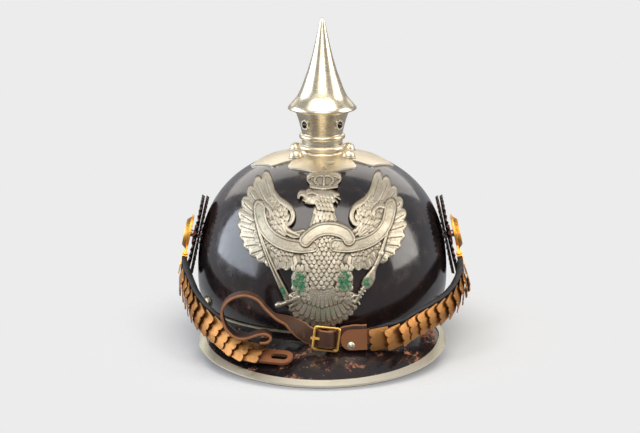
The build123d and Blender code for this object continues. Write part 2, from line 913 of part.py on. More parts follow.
def chain_plane(side, share):
    """A plane across the chain: X along it, Y across its width and Z out of its face."""
    path = chain_paths[side]
    run = share * path.length
    along = path.tangent_at(run, position_mode=PositionMode.LENGTH)
    across = Vector(0, 0, 1) - along * along.Z
    across = across / across.length
    outward = along.cross(across)
    place = path.position_at(run, position_mode=PositionMode.LENGTH)
    if outward.dot(Vector(place.X, place.Y, 0)) < 0:
        outward = outward * -1
    rosette_face = rosette_plane(side, 0).z_dir
    start_lean = degrees(atan2(rosette_face.dot(across), rosette_face.dot(outward)))
    end_lean = left_lean * share**left_lean_power if side < 0 else right_lean * share
    lean = start_lean * (1 - share) ** start_lean_power + end_lean
    face = outward * cos(radians(lean)) + across * sin(radians(lean))
    return Plane(origin=place, x_dir=along, z_dir=face)


def scale_backing(side):
    """The leather strip that carries the scales on one side."""
    with BuildPart() as strip:
        for step in range(backing_steps + 1):
            cut = chain_plane(side, step / backing_steps)
            with BuildSketch(Plane(origin=cut.origin, x_dir=cut.y_dir, z_dir=cut.x_dir)):
                Rectangle(2 * backing_half_width, backing_thickness)
        loft()
    return strip


scale_backing_left = scale_backing(-1)
scale_backing_right = scale_backing(1)
save(scale_backing_left, "scale_backing_left")
save(scale_backing_right, "scale_backing_right")

# Hinge leaves, folded round the pins and riveted on the backings
leaf_length = 7.5
leaf_sheet = 0.8


def hinge_leaf(side):
    """A brass leaf on the backing with a knuckle at each end of the rosette's knuckle."""
    start = chain_plane(side, 0)
    middle = hinge_plane(side)
    with BuildPart() as leaf:
        with BuildSketch(start.offset(backing_thickness / 2)):
            with Locations((leaf_length / 2 - fit_gap, 0)):
                Rectangle(leaf_length, 2 * (knuckle_half_length + fit_gap + leaf_knuckle_length))
        extrude(amount=leaf_sheet)
        for way in (-1, 1):
            with BuildSketch(middle.offset(way * (knuckle_half_length + fit_gap))):
                Circle(knuckle_radius)
                with Locations((backing_start / 2, 0)):
                    Rectangle(backing_start, 2 * knuckle_radius)
            extrude(amount=way * leaf_knuckle_length)
            with BuildSketch(middle.offset(way * knuckle_half_length)):
                Circle(pin_radius + fit_gap / 2)
            extrude(amount=way * (leaf_knuckle_length + 2 * fit_gap), mode=Mode.SUBTRACT)
    return leaf


hinge_leaf_left = hinge_leaf(-1)
hinge_leaf_right = hinge_leaf(1)
save(hinge_leaf_left, "hinge_leaf_left")
save(hinge_leaf_right, "hinge_leaf_right")

# Sizes of the scales, which overlap like shingles with their free ends away from the rosette
scale_sheet = 0.7
scale_half_width = 7.6
scale_camber = 1.5
scale_length = 12.2
scale_pitch = 9.4
scale_tilt = 9.0
scale_first = 7.0
lobe_radius = 2.5


def chain_scale():
    """One brass scale, cambered across its width, with three lobes on its free end."""
    chord = scale_half_width
    radius = (chord**2 + scale_camber**2) / (2 * scale_camber)
    with BuildPart() as plate:
        with BuildSketch(Plane.YZ):
            with BuildLine():
                outer = ThreePointArc((-chord, 0), (0, scale_camber), (chord, 0))
                inner = ThreePointArc(
                    (-chord, -scale_sheet), (0, scale_camber - scale_sheet), (chord, -scale_sheet)
                )
                Line(outer @ 0, inner @ 0)
                Line(outer @ 1, inner @ 1)
            make_face()
        extrude(amount=scale_length + lobe_radius)
        with BuildSketch(Plane.XY.offset(-radius)):
            with Locations((scale_length / 2, 0)):
                Rectangle(scale_length, 2 * scale_half_width)
            with Locations((scale_length, 0)):
                with GridLocations(0, 2 * lobe_radius, 1, 3):
                    Circle(lobe_radius)
        extrude(amount=2 * radius, mode=Mode.INTERSECT)
    return plate.part


def chin_scales(side):
    """All the scales of one side, each a separate plate on the backing."""
    length = chain_paths[side].length
    plate = chain_scale()
    count = int((length - scale_first - scale_length + scale_pitch) // scale_pitch)
    first = length - scale_length - (count - 1) * scale_pitch
    with BuildPart() as scales:
        for index in range(count):
            seat = chain_plane(side, (first + index * scale_pitch) / length)
            seat = seat.offset(backing_thickness / 2 + fit_gap + scale_sheet)
            with Locations(turned(seat, (0, -scale_tilt, 0))):
                add(plate)
    print("scales on side", side, count)
    return scales


chin_scales_left = chin_scales(-1)
chin_scales_right = chin_scales(1)
save(chin_scales_left, "chin_scales_left")
save(chin_scales_right, "chin_scales_right")

# Slotted leather tab at the left chain's free end
tab_sheet = 1.8
slot_tab_length = 22.0
slot_tab_half_width = 6.4
slot_half_width = 2.6
slot_length = 12.0
slot_end_wall = 3.4
left_end = chain_plane(-1, 1)
with BuildPart() as slotted_end_tab:
    with BuildSketch(left_end.offset(-tab_sheet / 2)):
        with Locations(((slot_tab_length - slot_tab_half_width) / 2, 0)):
            Rectangle(slot_tab_length - slot_tab_half_width, 2 * slot_tab_half_width)
        with Locations((slot_tab_length - slot_tab_half_width, 0)):
            Circle(slot_tab_half_width)
        with Locations((slot_tab_length - slot_end_wall - slot_length / 2, 0)):
            SlotOverall(slot_length, 2 * slot_half_width, mode=Mode.SUBTRACT)
    extrude(amount=tab_sheet)
save(slotted_end_tab, "slotted_end_tab")

# The plane of the buckle end: X to the right, Y up and Z out, from the right backing's end
right_end = chain_plane(1, 1)
front_plane = Plane(origin=right_end.origin, x_dir=right_end.x_dir * -1, z_dir=right_end.z_dir)

# Sizes of the buckle
buckle_reach = 31.0
buckle_offset = 5.3
buckle_lift = 1.5
buckle_roll = -8.0
buckle_length = 18.7
buckle_height = 17.0
buckle_wire = 1.9
wire_round_share = 0.29
buckle_corner = 2.2
bar_radius = 0.95
prong_width = 1.8
prong_sheet = 1.3
prong_over = 1.6

# Sizes of the leather at the buckle
chape_half_width = 5.0
chape_wall = 1.25
chape_bore = bar_radius + soft_gap
chape_loop_radius = chape_bore + chape_wall
chape_bend_reach = 26.6
chape_slot = 2.8
tail_thickness = 2.2
tail_lift = 4.2
strap_width = 12.0
tab_start = 2.9
tab_reach = 21.0
tab_half_width = 7.0
tab_top_gap = 0.1
flap_sheet = 1.6
chape_rivet_reach = 14.0
chape_rivet_lift = -3.6
chape_rivet_radius = 2.3
chape_rivet_rise = 1.2
chape_rivet_shank = 1.1

chape_face = backing_thickness / 2
tail_face = chape_face + tab_top_gap + tail_thickness
flap_seat = tail_face + tab_top_gap
buckle_origin = front_plane.from_local_coords(Vector(-buckle_reach, buckle_lift, buckle_offset))
buckle_plane = Plane(origin=buckle_origin, x_dir=front_plane.x_dir, z_dir=front_plane.z_dir)
rolled_plane = turned(buckle_plane, (0, 0, buckle_roll))
bar_plane = Plane(
    origin=rolled_plane.origin - rolled_plane.y_dir * buckle_height / 2, z_dir=rolled_plane.y_dir
)
chape_side = Plane(
    origin=front_plane.origin, x_dir=front_plane.x_dir, z_dir=front_plane.y_dir * -1
)

# Where the chape's two faces meet its loop, as shares of the loop's radius
chape_side_shares = (0.8, 0.6)
chape_side_x = chape_loop_radius * chape_side_shares[0]
chape_side_z = chape_loop_radius * chape_side_shares[1]

# Leather chape that loops round the buckle's centre bar
with BuildPart() as buckle_chape:
    with BuildSketch(chape_side.offset(-buckle_lift - chape_half_width)):
        with Locations((-buckle_reach, buckle_offset)):
            Circle(chape_loop_radius)
        with BuildLine():
            Polyline(
                (0, -chape_face),
                (0, chape_face),
                (-chape_bend_reach, chape_face),
                (-buckle_reach + chape_side_x, buckle_offset + chape_side_z),
                (-buckle_reach - chape_side_x, buckle_offset - chape_side_z),
                (-chape_bend_reach - chape_face, -chape_face),
                close=True,
            )
        make_face()
        with Locations((-buckle_reach, buckle_offset)):
            Circle(chape_bore, mode=Mode.SUBTRACT)
    extrude(amount=2 * chape_half_width)
    with BuildSketch(bar_plane):
        Circle(chape_bore)
    extrude(amount=buckle_height, mode=Mode.SUBTRACT)
    with BuildSketch(buckle_plane.offset(-chape_loop_radius)):
        Rectangle(2 * chape_loop_radius + 2 * chape_slot, chape_slot)
    extrude(amount=overrun / 4, mode=Mode.SUBTRACT)
    with BuildSketch(front_plane.offset(-overrun / 4)):
        with Locations((-chape_rivet_reach, chape_rivet_lift)):
            Circle(chape_rivet_shank + stud_clearance)
    extrude(amount=overrun / 2, mode=Mode.SUBTRACT)
save(buckle_chape, "buckle_chape")

# Outer leather flap over the strap's tail
with BuildPart() as buckle_flap:
    with BuildSketch(front_plane.offset(flap_seat)):
        with Locations((-(tab_start + tab_reach - tab_half_width) / 2, 0)):
            Rectangle(tab_reach - tab_half_width - tab_start, 2 * tab_half_width)
        with Locations((-(tab_reach - tab_half_width), 0)):
            Circle(tab_half_width)
    extrude(amount=flap_sheet)
    with BuildSketch(front_plane.offset(chape_face)):
        with Locations((-(tab_start + tab_reach - tab_half_width) / 2, -tab_half_width)):
            Rectangle(
                tab_reach - tab_half_width - tab_start,
                2 * (tab_half_width + tail_lift - strap_width / 2 - running_gap),
            )
        with Locations((-(tab_start + tab_reach - tab_half_width) / 2, 0)):
            Rectangle(overrun, 2 * tab_half_width, mode=Mode.INTERSECT)
    extrude(amount=flap_seat - chape_face)
    with BuildSketch(front_plane):
        with Locations((-chape_rivet_reach, chape_rivet_lift)):
            Circle(chape_rivet_shank + stud_clearance)
    extrude(amount=overrun / 4, mode=Mode.SUBTRACT)
save(buckle_flap, "buckle_flap")

# Rivet through the flap and the chape
with BuildPart() as chape_rivet:
    rivet_origin = front_plane.from_local_coords(
        Vector(-chape_rivet_reach, chape_rivet_lift, flap_seat + flap_sheet)
    )
    rivet_plane = Plane(origin=rivet_origin, x_dir=front_plane.x_dir, z_dir=front_plane.z_dir)
    rivet_depth = flap_seat + flap_sheet + chape_face
    with Locations(rivet_plane):
        add(stud(chape_rivet_radius, chape_rivet_rise, rivet_brim, chape_rivet_shank, rivet_depth))
    with BuildSketch(rivet_plane.offset(-rivet_depth)):
        Circle(chape_rivet_radius)
    extrude(amount=-rivet_brim)
save(chape_rivet, "chape_rivet")

# Brass buckle frame with its centre bar
with BuildPart() as buckle_frame:
    with BuildSketch(rolled_plane.offset(-buckle_wire / 2)):
        RectangleRounded(buckle_length, buckle_height, buckle_corner)
        RectangleRounded(
            buckle_length - 2 * buckle_wire,
            buckle_height - 2 * buckle_wire,
            buckle_corner - buckle_wire / 2,
            mode=Mode.SUBTRACT,
        )
    extrude(amount=buckle_wire)
    chamfer(buckle_frame.edges(), length=buckle_wire * wire_round_share)
    with BuildSketch(
        Plane(
            origin=rolled_plane.origin - rolled_plane.y_dir * (buckle_height - buckle_wire) / 2,
            z_dir=rolled_plane.y_dir,
        )
    ):
        Circle(bar_radius)
    extrude(amount=buckle_height - buckle_wire)
save(buckle_frame, "buckle_frame")

# Prong that turns on the centre bar and rests on the left bar
prong_seat = buckle_wire / 2 + fit_gap
prong_bore = bar_radius + fit_gap
prong_ring_share = 0.75
prong_tip_share = 0.6
prong_ring = prong_bore + prong_sheet * prong_ring_share
prong_side = Plane(
    origin=rolled_plane.origin - rolled_plane.y_dir * prong_width / 2,
    x_dir=rolled_plane.x_dir * -1,
    z_dir=rolled_plane.y_dir,
)
with BuildPart() as buckle_prong:
    with BuildSketch(prong_side):
        with BuildLine():
            Polyline(
                (0, prong_ring),
                (buckle_length / 2 + prong_over, prong_seat + prong_sheet * prong_tip_share),
                (buckle_length / 2 + prong_over, prong_seat),
                (buckle_length / 2 - 2 * buckle_wire, prong_seat),
                (0, prong_bore),
                close=True,
            )
        make_face()
        Circle(prong_ring)
        Circle(prong_bore, mode=Mode.SUBTRACT)
    extrude(amount=prong_width)
save(buckle_prong, "buckle_prong")

# Sizes of the strap's loop, which stands edge-on in front of the skull
strap_thickness = 2.3
loop_middle_x = -52.0
loop_middle_height = 42.0
loop_size = 16.8
loop_y = -119.0

# Route of the strap's loop in the front view, as shares of the loop's size from its middle
loop_shares = [
    (0.580, -0.965),
    (0.860, -0.945),
    (1.010, -0.820),
    (0.960, -0.660),
    (0.740, -0.590),
    (0.430, -0.650),
    (0.120, -0.755),
    (-0.190, -0.790),
    (-0.480, -0.690),
    (-0.744, -0.417),
    (-0.917, 0.030),
    (-0.911, 0.417),
    (-0.685, 0.774),
    (-0.315, 0.964),
    (0.089, 0.994),
    (0.506, 0.815),
    (0.804, 0.464),
    (1.220, 0.060),
]
strap_stations = [
    (Vector(loop_middle_x + x_share * loop_size, loop_y, loop_middle_height + z_share * loop_size), 0)
    for x_share, z_share in loop_shares
]

# Route of the strap through the buckle: reach in half buckles, lift, height step and twist as shares
half_buckle = (buckle_length - buckle_wire) / 2
bar_gap = 0.82
loop_gap = 0.2
strap_rise = 10.0
bar_seat = buckle_offset - buckle_wire / 2 - bar_gap - tail_thickness / 2
loop_seat = buckle_offset + chape_loop_radius + loop_gap + tail_thickness / 2
tail_middle = tail_face - tail_thickness / 2
buckle_route_shares = [
    (3.00, 1.35, buckle_offset / 2, -0.325, 0.25),
    (2.10, 0.84, buckle_offset / 2, -0.205, 0.72),
    (1.45, 0.46, buckle_offset / 2, -0.105, 1),
    (1.00, 0.29, bar_seat, 0, 1),
    (0.72, 0.25, bar_seat, 0.10, 1),
    (0.30, 0.20, loop_seat, -0.05, 1),
    (0.00, 0.17, loop_seat, 0, 1),
    (-0.30, 0.13, loop_seat, -0.06, 1),
    (-0.66, 0.09, bar_seat, 0.10, 1),
    (-1.00, 0.10, bar_seat, 0, 1),
    (-1.50, 0.32, tail_middle, 0, 1),
    (-2.20, 0.42, tail_middle, 0, 1),
]
strap_stations += [
    (
        front_plane.from_local_coords(
            Vector(
                -buckle_reach - reach_share * half_buckle,
                lift_share * strap_rise,
                seat + step_share * strap_rise,
            )
        ),
        twist_share,
    )
    for reach_share, lift_share, seat, step_share, twist_share in buckle_route_shares
]
strap_stations.append((front_plane.from_local_coords(Vector(-tab_start, tail_lift, tail_middle)), 1))


def strap_section(index):
    """The plane across the strap at a station and the strap's thickness there."""
    place, twist = strap_stations[index]
    before = strap_stations[max(index - 1, 0)][0]
    after = strap_stations[min(index + 1, len(strap_stations) - 1)][0]
    along = (after - before).normalized()
    flat = Vector(0, 1, 0)
    flat = (flat - along * along.dot(flat)).normalized()
    upright = front_plane.y_dir
    upright = (upright - along * along.dot(upright)).normalized()
    angle = twist * atan2(along.dot(flat.cross(upright)), flat.dot(upright))
    across = flat * cos(angle) + along.cross(flat) * sin(angle)
    thickness = strap_thickness + twist * (tail_thickness - strap_thickness)
    return Plane(origin=place, x_dir=across, z_dir=along), thickness


# Chin strap, from the buckle back through its loop to the left chain's end
prong_slot_share = 0.8
with BuildPart() as chin_strap:
    for index in reversed(range(len(strap_stations))):
        cut, thickness = strap_section(index)
        with BuildSketch(cut):
            Rectangle(strap_width, thickness)
    loft(ruled=True)
    with BuildSketch(rolled_plane):
        with Locations((-half_buckle / 2, 0)):
            Rectangle(half_buckle * prong_slot_share, prong_width + 2 * bar_gap)
    extrude(amount=overrun / 4, mode=Mode.SUBTRACT)
save(chin_strap, "chin_strap")

# Sizes of the liner
band_liner_sheet = 1.6
band_liner_top = 60.0
liner_foot_gap = 2.0
tongue_sheet = 1.4
tongue_foot_height = 52.0
tongue_top_height = 104.0
tongue_top_half_width = 42.0
tongue_slot = 7.0
tongue_slot_foot = 64.0
tongue_count = 9
lace_radius = 1.1
lace_height = 96.0
lace_points = 12
full_turn = 360

# Leather sweatband inside the skull
with BuildPart() as sweatband:
    add(
        skin(
            -skull_wall - soft_gap - band_liner_sheet,
            -skull_wall - soft_gap,
            rim_height + liner_foot_gap,
        )
    )
    with BuildSketch(Plane.XY.offset(band_liner_top)):
        Rectangle(overrun + 2 * skull_half_width, overrun + 2 * skull_half_length)
    extrude(amount=skull_top, mode=Mode.SUBTRACT)
    with BuildSketch(Plane.YZ):
        with BuildLine():
            ThreePointArc(
                (-ear_arch_half_length, rim_height),
                (0, rim_height + ear_arch_rise + liner_foot_gap),
                (ear_arch_half_length, rim_height),
            )
            Line((ear_arch_half_length, rim_height), (-ear_arch_half_length, rim_height))
        make_face()
    extrude(amount=skull_half_width + overrun, both=True, mode=Mode.SUBTRACT)
save(sweatband, "sweatband")

# Liner tongues that rise from the sweatband to the lace
tongue_foot_half_width = (
    dome_radius(tongue_foot_height) - skull_wall - soft_gap - band_liner_sheet - fit_gap - 2 * tongue_sheet
)


def tongue_half_width_at(height):
    """Outer half width of the liner cone at a height."""
    share = (height - tongue_foot_height) / (tongue_top_height - tongue_foot_height)
    return tongue_foot_half_width + share * (tongue_top_half_width - tongue_foot_half_width)


def liner_cone(shrink):
    """The cone that the tongues are cut from, made smaller by a length."""
    foot = tongue_foot_half_width - shrink
    top = tongue_top_half_width - shrink
    with BuildPart() as form:
        with BuildSketch(Plane.XY.offset(tongue_foot_height)):
            Ellipse(foot, foot * length_ratio)
        with BuildSketch(Plane.XY.offset(tongue_top_height)):
            Ellipse(top, top * length_ratio)
        loft()
    return form.part


tongue_rim_half_width = dome_radius(tongue_foot_height) - skull_wall - soft_gap - band_liner_sheet - fit_gap
with BuildPart() as liner_tongues:
    add(liner_cone(0))
    add(liner_cone(tongue_sheet), mode=Mode.SUBTRACT)
    with BuildSketch(Plane.XY.offset(tongue_foot_height)):
        Ellipse(tongue_rim_half_width, tongue_rim_half_width * length_ratio)
        Ellipse(
            tongue_foot_half_width - tongue_sheet,
            (tongue_foot_half_width - tongue_sheet) * length_ratio,
            mode=Mode.SUBTRACT,
        )
    extrude(amount=tongue_sheet)
    with BuildSketch(Plane.XY.offset(tongue_slot_foot)):
        with PolarLocations(skull_half_length / 2, tongue_count):
            Rectangle(skull_half_length, tongue_slot)
    extrude(amount=skull_top, mode=Mode.SUBTRACT)
save(liner_tongues, "liner_tongues")

# Lace drawn round the inside of the tongues
lace_half_width = tongue_half_width_at(lace_height) - tongue_sheet - lace_radius - soft_gap
with BuildPart() as liner_lace:
    with BuildLine(Plane.XY.offset(lace_height)):
        Spline(
            *[
                (lace_half_width * cos(turn), lace_half_width * length_ratio * sin(turn))
                for turn in [radians(full_turn * point / lace_points) for point in range(lace_points)]
            ],
            periodic=True,
        )
    with BuildSketch(Plane(origin=(lace_half_width, 0, lace_height), z_dir=(0, 1, 0))):
        Circle(lace_radius)
    sweep()
save(liner_lace, "liner_lace")

# Sizes of the front plate, an eagle with a crown, a blank scroll, a sword and a sceptre
plate_gap = 0.3
wing_relief = 2.2
body_relief = 3.6
scroll_relief = 3.0
plate_half_width = 59.0
plate_middle_height = 80.0
plate_half_height = 49.0
feather_half_width = 4.4
tail_feather_half_width = 2.9
blade_half_width = 1.8

# Tips of one wing's feathers and outline of its inner part, as shares of the plate's half sizes
wing_root_shares = (0.52, 0.22)
wing_tip_shares = [
    (0.66, 0.915),
    (0.79, 0.830),
    (0.88, 0.725),
    (0.95, 0.590),
    (0.99, 0.445),
    (1.00, 0.300),
    (0.99, 0.160),
    (0.96, 0.035),
    (0.89, -0.070),
    (0.78, -0.145),
    (0.66, -0.180),
    (0.54, -0.190),
    (0.42, -0.185),
    (0.32, -0.165),
]
wing_inner_shares = [
    (0.655, 0.840),
    (0.60, 0.740),
    (0.45, 0.640),
    (0.355, 0.545),
    (0.415, 0.400),
    (0.28, 0.265),
    (0.15, 0.10),
    (0.22, -0.14),
    (0.55, -0.12),
    (0.75, 0.10),
    (0.76, 0.50),
    (0.70, 0.74),
]
tail_root_shares = (0.0, -0.35)
tail_tip_shares = [
    (0.40, -0.665),
    (0.35, -0.775),
    (0.275, -0.865),
    (0.185, -0.925),
    (0.095, -0.965),
    (0.0, -0.985),
]
neck_shares = [
    (-0.235, 0.25),
    (-0.115, 0.45),
    (-0.10, 0.60),
    (-0.20, 0.715),
    (-0.275, 0.740),
    (-0.245, 0.775),
    (-0.13, 0.800),
    (0.145, 0.800),
    (0.185, 0.60),
    (0.26, 0.25),
]
crown_shares = [
    (-0.155, 0.800),
    (-0.145, 0.830),
    (-0.205, 0.869),
    (-0.185, 0.896),
    (-0.09, 0.909),
    (-0.035, 0.911),
    (-0.035, 0.932),
    (0.035, 0.932),
    (0.035, 0.911),
    (0.09, 0.909),
    (0.185, 0.896),
    (0.205, 0.869),
    (0.145, 0.830),
    (0.155, 0.800),
]


breast_place_share = (0.0, 0.06)
breast_shares = (0.25, 0.42)
thigh_place_share = (0.25, -0.36)
thigh_shares = (0.105, 0.27)

# The blade, its guard and the sceptre, then the sceptre's knob and the edges of the scroll's parts
bar_shares = [
    ((-0.80, 0.44), (-0.43, -0.60)),
    ((-0.50, -0.665), (-0.27, -0.53)),
    ((0.39, -0.58), (0.75, 0.24)),
]
knob_shares = ((0.42, -0.48), (0.60, -0.18))
scroll_edge_shares = [
    (
        ((-0.80, 0.44), (-0.53, 0.14), (-0.14, 0.06)),
        ((-0.69, 0.50), (-0.46, 0.28), (-0.12, 0.20)),
    ),
    (
        ((0.80, 0.44), (0.53, 0.14), (0.14, 0.06)),
        ((0.69, 0.50), (0.46, 0.28), (0.12, 0.20)),
    ),
    (
        ((-0.24, 0.24), (0.03, 0.34), (0.28, 0.22)),
        ((-0.22, 0.37), (0.04, 0.475), (0.30, 0.36)),
    ),
]


def plate_point(share):
    """A place in the plate's front view from shares of its half sizes."""
    return (share[0] * plate_half_width, plate_middle_height + share[1] * plate_half_height)


def feather(root, tip, half_width):
    """An oval feather in the front view from a root to a tip."""
    reach = Vector(*tip) - Vector(*root)
    turn = degrees(atan2(reach.Y, reach.X))
    with Locations(Location((root[0] + reach.X / 2, root[1] + reach.Y / 2, 0), (0, 0, turn))):
        Ellipse(reach.length / 2, half_width)


def bar(start, end, half_width):
    """A straight bar with round ends in the front view."""
    reach = Vector(*end) - Vector(*start)
    turn = degrees(atan2(reach.Y, reach.X))
    with Locations(Location((start[0] + reach.X / 2, start[1] + reach.Y / 2, 0), (0, 0, turn))):
        SlotOverall(reach.length + 2 * half_width, 2 * half_width)


def wing_form():
    """Both wings in the front view."""
    with BuildSketch(Plane.XZ) as form:
        for way in (-1, 1):
            root = plate_point((way * wing_root_shares[0], wing_root_shares[1]))
            for tip_share in wing_tip_shares:
                feather(root, plate_point((way * tip_share[0], tip_share[1])), feather_half_width)
            with BuildLine():
                Polyline(
                    *[plate_point((way * share[0], share[1])) for share in wing_inner_shares], close=True
                )
            make_face()
    return form.sketch


def body_form():
    """The head, crown, neck, body, thighs and tail in the front view."""
    with BuildSketch(Plane.XZ) as form:
        for outline in (neck_shares, crown_shares):
            with BuildLine():
                Polyline(*[plate_point(share) for share in outline], close=True)
            make_face()
        with Locations(plate_point(breast_place_share)):
            Ellipse(plate_half_width * breast_shares[0], plate_half_height * breast_shares[1])
        for way in (-1, 1):
            with Locations(plate_point((way * thigh_place_share[0], thigh_place_share[1]))):
                Ellipse(plate_half_width * thigh_shares[0], plate_half_height * thigh_shares[1])
            for tip_share in tail_tip_shares:
                feather(
                    plate_point(tail_root_shares),
                    plate_point((way * tip_share[0], tip_share[1])),
                    tail_feather_half_width,
                )
    return form.sketch


def scroll_form():
    """The blank scroll, the sword and the sceptre in the front view."""
    with BuildSketch(Plane.XZ) as form:
        for start_share, end_share in bar_shares:
            bar(plate_point(start_share), plate_point(end_share), blade_half_width)
        feather(plate_point(knob_shares[0]), plate_point(knob_shares[1]), 2 * blade_half_width)
        for edge_shares in scroll_edge_shares:
            with BuildLine():
                arcs = [
                    ThreePointArc(*[plate_point(share) for share in side_shares])
                    for side_shares in edge_shares
                ]
                Line(arcs[0] @ 0, arcs[1] @ 0)
                Line(arcs[0] @ 1, arcs[1] @ 1)
            make_face()
    return form.sketch


def relief(form, rise):
    """A layer of the plate: a front-view form pressed onto the skull up to a height."""
    with BuildPart() as layer:
        add(skin(plate_gap, plate_gap + rise, rim_height + trim_face))
        with BuildSketch(Plane.XZ):
            add(form)
        extrude(amount=skull_half_length + overrun, mode=Mode.INTERSECT)
    return layer.part


# Front plate
with BuildPart() as front_plate:
    add(relief(wing_form(), wing_relief))
    add(relief(body_form(), body_relief))
    add(relief(scroll_form(), scroll_relief))
save(front_plate, "front_plate")

# Threaded studs behind the plate and their nuts inside the skull
plate_nut_width = 6.0
plate_nut_height = 2.0
plate_screw_tail = 3.5
with BuildPart() as plate_screws:
    for side in (-1, 1):
        touch = dome_plane(side * plate_screw_x, plate_screw_y, plate_screw_height)
        with BuildSketch(touch.offset(plate_gap)):
            Circle(plate_screw_radius)
        extrude(amount=-plate_gap - skull_wall * length_ratio - plate_screw_tail)
save(plate_screws, "plate_screws")

with BuildPart() as plate_nuts:
    for side in (-1, 1):
        touch = dome_plane(side * plate_screw_x, plate_screw_y, plate_screw_height)
        with BuildSketch(touch.offset(-skull_wall * length_ratio - fit_gap)):
            RegularPolygon(plate_nut_width / 2, 6, major_radius=False)
            Circle(plate_screw_radius, mode=Mode.SUBTRACT)
        extrude(amount=-plate_nut_height)
save(plate_nuts, "plate_nuts")
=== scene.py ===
# %% [markdown]
# # Dressing a spiked parade helmet
# The model of this helmet has already been made to size in CAD. Here it is loaded as a fixed
# frame, and Blender adds what CAD can't: the pressed relief of the eagle, the fluting of the
# cockades, the soft run of the strap, and the wear on leather, brass and nickel silver. Nothing
# is moved.

# %% Load the frame
import math
import bpy
import numpy as np
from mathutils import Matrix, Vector
from mathutils.bvhtree import BVHTree


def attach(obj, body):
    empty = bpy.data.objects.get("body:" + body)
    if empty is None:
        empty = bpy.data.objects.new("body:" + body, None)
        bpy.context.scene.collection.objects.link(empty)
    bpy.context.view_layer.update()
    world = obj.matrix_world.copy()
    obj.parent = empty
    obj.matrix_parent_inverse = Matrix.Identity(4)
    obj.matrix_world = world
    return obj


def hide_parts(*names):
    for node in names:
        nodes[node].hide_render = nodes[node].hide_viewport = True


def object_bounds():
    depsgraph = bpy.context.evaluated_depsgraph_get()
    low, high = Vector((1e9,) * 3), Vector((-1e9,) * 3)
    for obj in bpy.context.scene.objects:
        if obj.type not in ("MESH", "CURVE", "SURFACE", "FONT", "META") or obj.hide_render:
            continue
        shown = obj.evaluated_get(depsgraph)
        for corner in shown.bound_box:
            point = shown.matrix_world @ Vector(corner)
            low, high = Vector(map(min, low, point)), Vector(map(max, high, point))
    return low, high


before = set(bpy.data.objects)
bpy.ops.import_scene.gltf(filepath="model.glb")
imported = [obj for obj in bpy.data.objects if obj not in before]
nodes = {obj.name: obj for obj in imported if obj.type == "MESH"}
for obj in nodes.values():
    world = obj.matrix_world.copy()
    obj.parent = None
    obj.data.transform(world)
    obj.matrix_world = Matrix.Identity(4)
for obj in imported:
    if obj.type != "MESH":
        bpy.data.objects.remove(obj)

cad_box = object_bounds()
MM = 0.001
print("nodes:", len(nodes))

# %% [markdown]
# ## Building materials from small steps
# A finish is a stack of simple layers: a base colour, a second colour that shows through where
# the surface is worn, a change of roughness, and a fine bump. A small class keeps the node
# wiring short, so that each finish below reads like a recipe.


# %% A small recipe book for finishes
class Finish:
    """One material, wired step by step. Places are taken from the object's own coordinates."""

    def __init__(self, name):
        self.material = bpy.data.materials.new(name)
        self.material.use_nodes = True
        self.tree = self.material.node_tree
        self.shader = self.tree.nodes["Principled BSDF"]
        self.place = self.node("TexCoord").outputs["Object"]

    def link(self, source, target):
        self.tree.links.new(source, target)

    def node(self, kind, **inputs):
        """A new node. Each input gets a fixed value or the output of an earlier node."""
        node = self.tree.nodes.new("ShaderNode" + kind)
        for name, value in inputs.items():
            socket = node.inputs[name.replace("_", " ")]
            if isinstance(value, bpy.types.NodeSocket):
                self.link(value, socket)
            else:
                socket.default_value = value
        return node

    def noise(self, scale, detail=6.0, rough=0.6, stretch=(1, 1, 1)):
        place = self.node("Mapping", Vector=self.place, Scale=stretch).outputs["Vector"]
        node = self.node("TexNoise", Vector=place, Scale=scale, Detail=detail, Roughness=rough)
        return node.outputs["Fac"]

    def cells(self, scale):
        node = self.node("TexVoronoi", Vector=self.place, Scale=scale)
        node.feature = "DISTANCE_TO_EDGE"
        return node.outputs["Distance"]

    def ramp(self, source, low, high, start=0.0, end=1.0):
        """Maps a value from low..high to start..end, held at both ends."""
        limits = {"From_Min": low, "From_Max": high, "To_Min": start, "To_Max": end}
        return self.node("MapRange", Value=source, **limits).outputs["Result"]

    def times(self, first, second, how="MULTIPLY"):
        node = self.node("Math")
        node.operation = how
        node.use_clamp = True
        self.link(first, node.inputs[0])
        if isinstance(second, float):
            node.inputs[1].default_value = second
        else:
            self.link(second, node.inputs[1])
        return node.outputs["Value"]

    def colour(self, share, first, second):
        """Blends two colours, each a colour triple or the output of an earlier step."""
        node = self.node("Mix")
        node.data_type = "RGBA"
        self.link(share, node.inputs["Factor"])
        colours = [socket for socket in node.inputs if socket.type == "RGBA"]
        for value, socket in ((first, colours[0]), (second, colours[1])):
            if isinstance(value, tuple):
                socket.default_value = (*value, 1.0)
            else:
                self.link(value, socket)
        return [socket for socket in node.outputs if socket.type == "RGBA"][0]

    def edges(self, low=0.52, high=0.62):
        """High on outside corners, which rub bright first."""
        return self.ramp(self.node("NewGeometry").outputs["Pointiness"], low, high)

    def painted(self, name):
        """A value that the mesh carries on its own points."""
        node = self.node("Attribute")
        node.attribute_name = name
        return node.outputs["Fac"]

    def bump(self, height, distance):
        """Adds a fine relief. The distance is in metres."""
        node = self.node("Bump", Height=height, Distance=distance, Strength=1.0)
        if self.shader.inputs["Normal"].is_linked:
            self.link(self.shader.inputs["Normal"].links[0].from_socket, node.inputs["Normal"])
        self.link(node.outputs["Normal"], self.shader.inputs["Normal"])

    def base(self, source):
        self.link(source, self.shader.inputs["Base Color"])

    def rough(self, source):
        self.link(source, self.shader.inputs["Roughness"])

    def metal(self, source):
        self.link(source, self.shader.inputs["Metallic"])

    def fixed(self, **values):
        for name, value in values.items():
            self.shader.inputs[name.replace("_", " ")].default_value = value


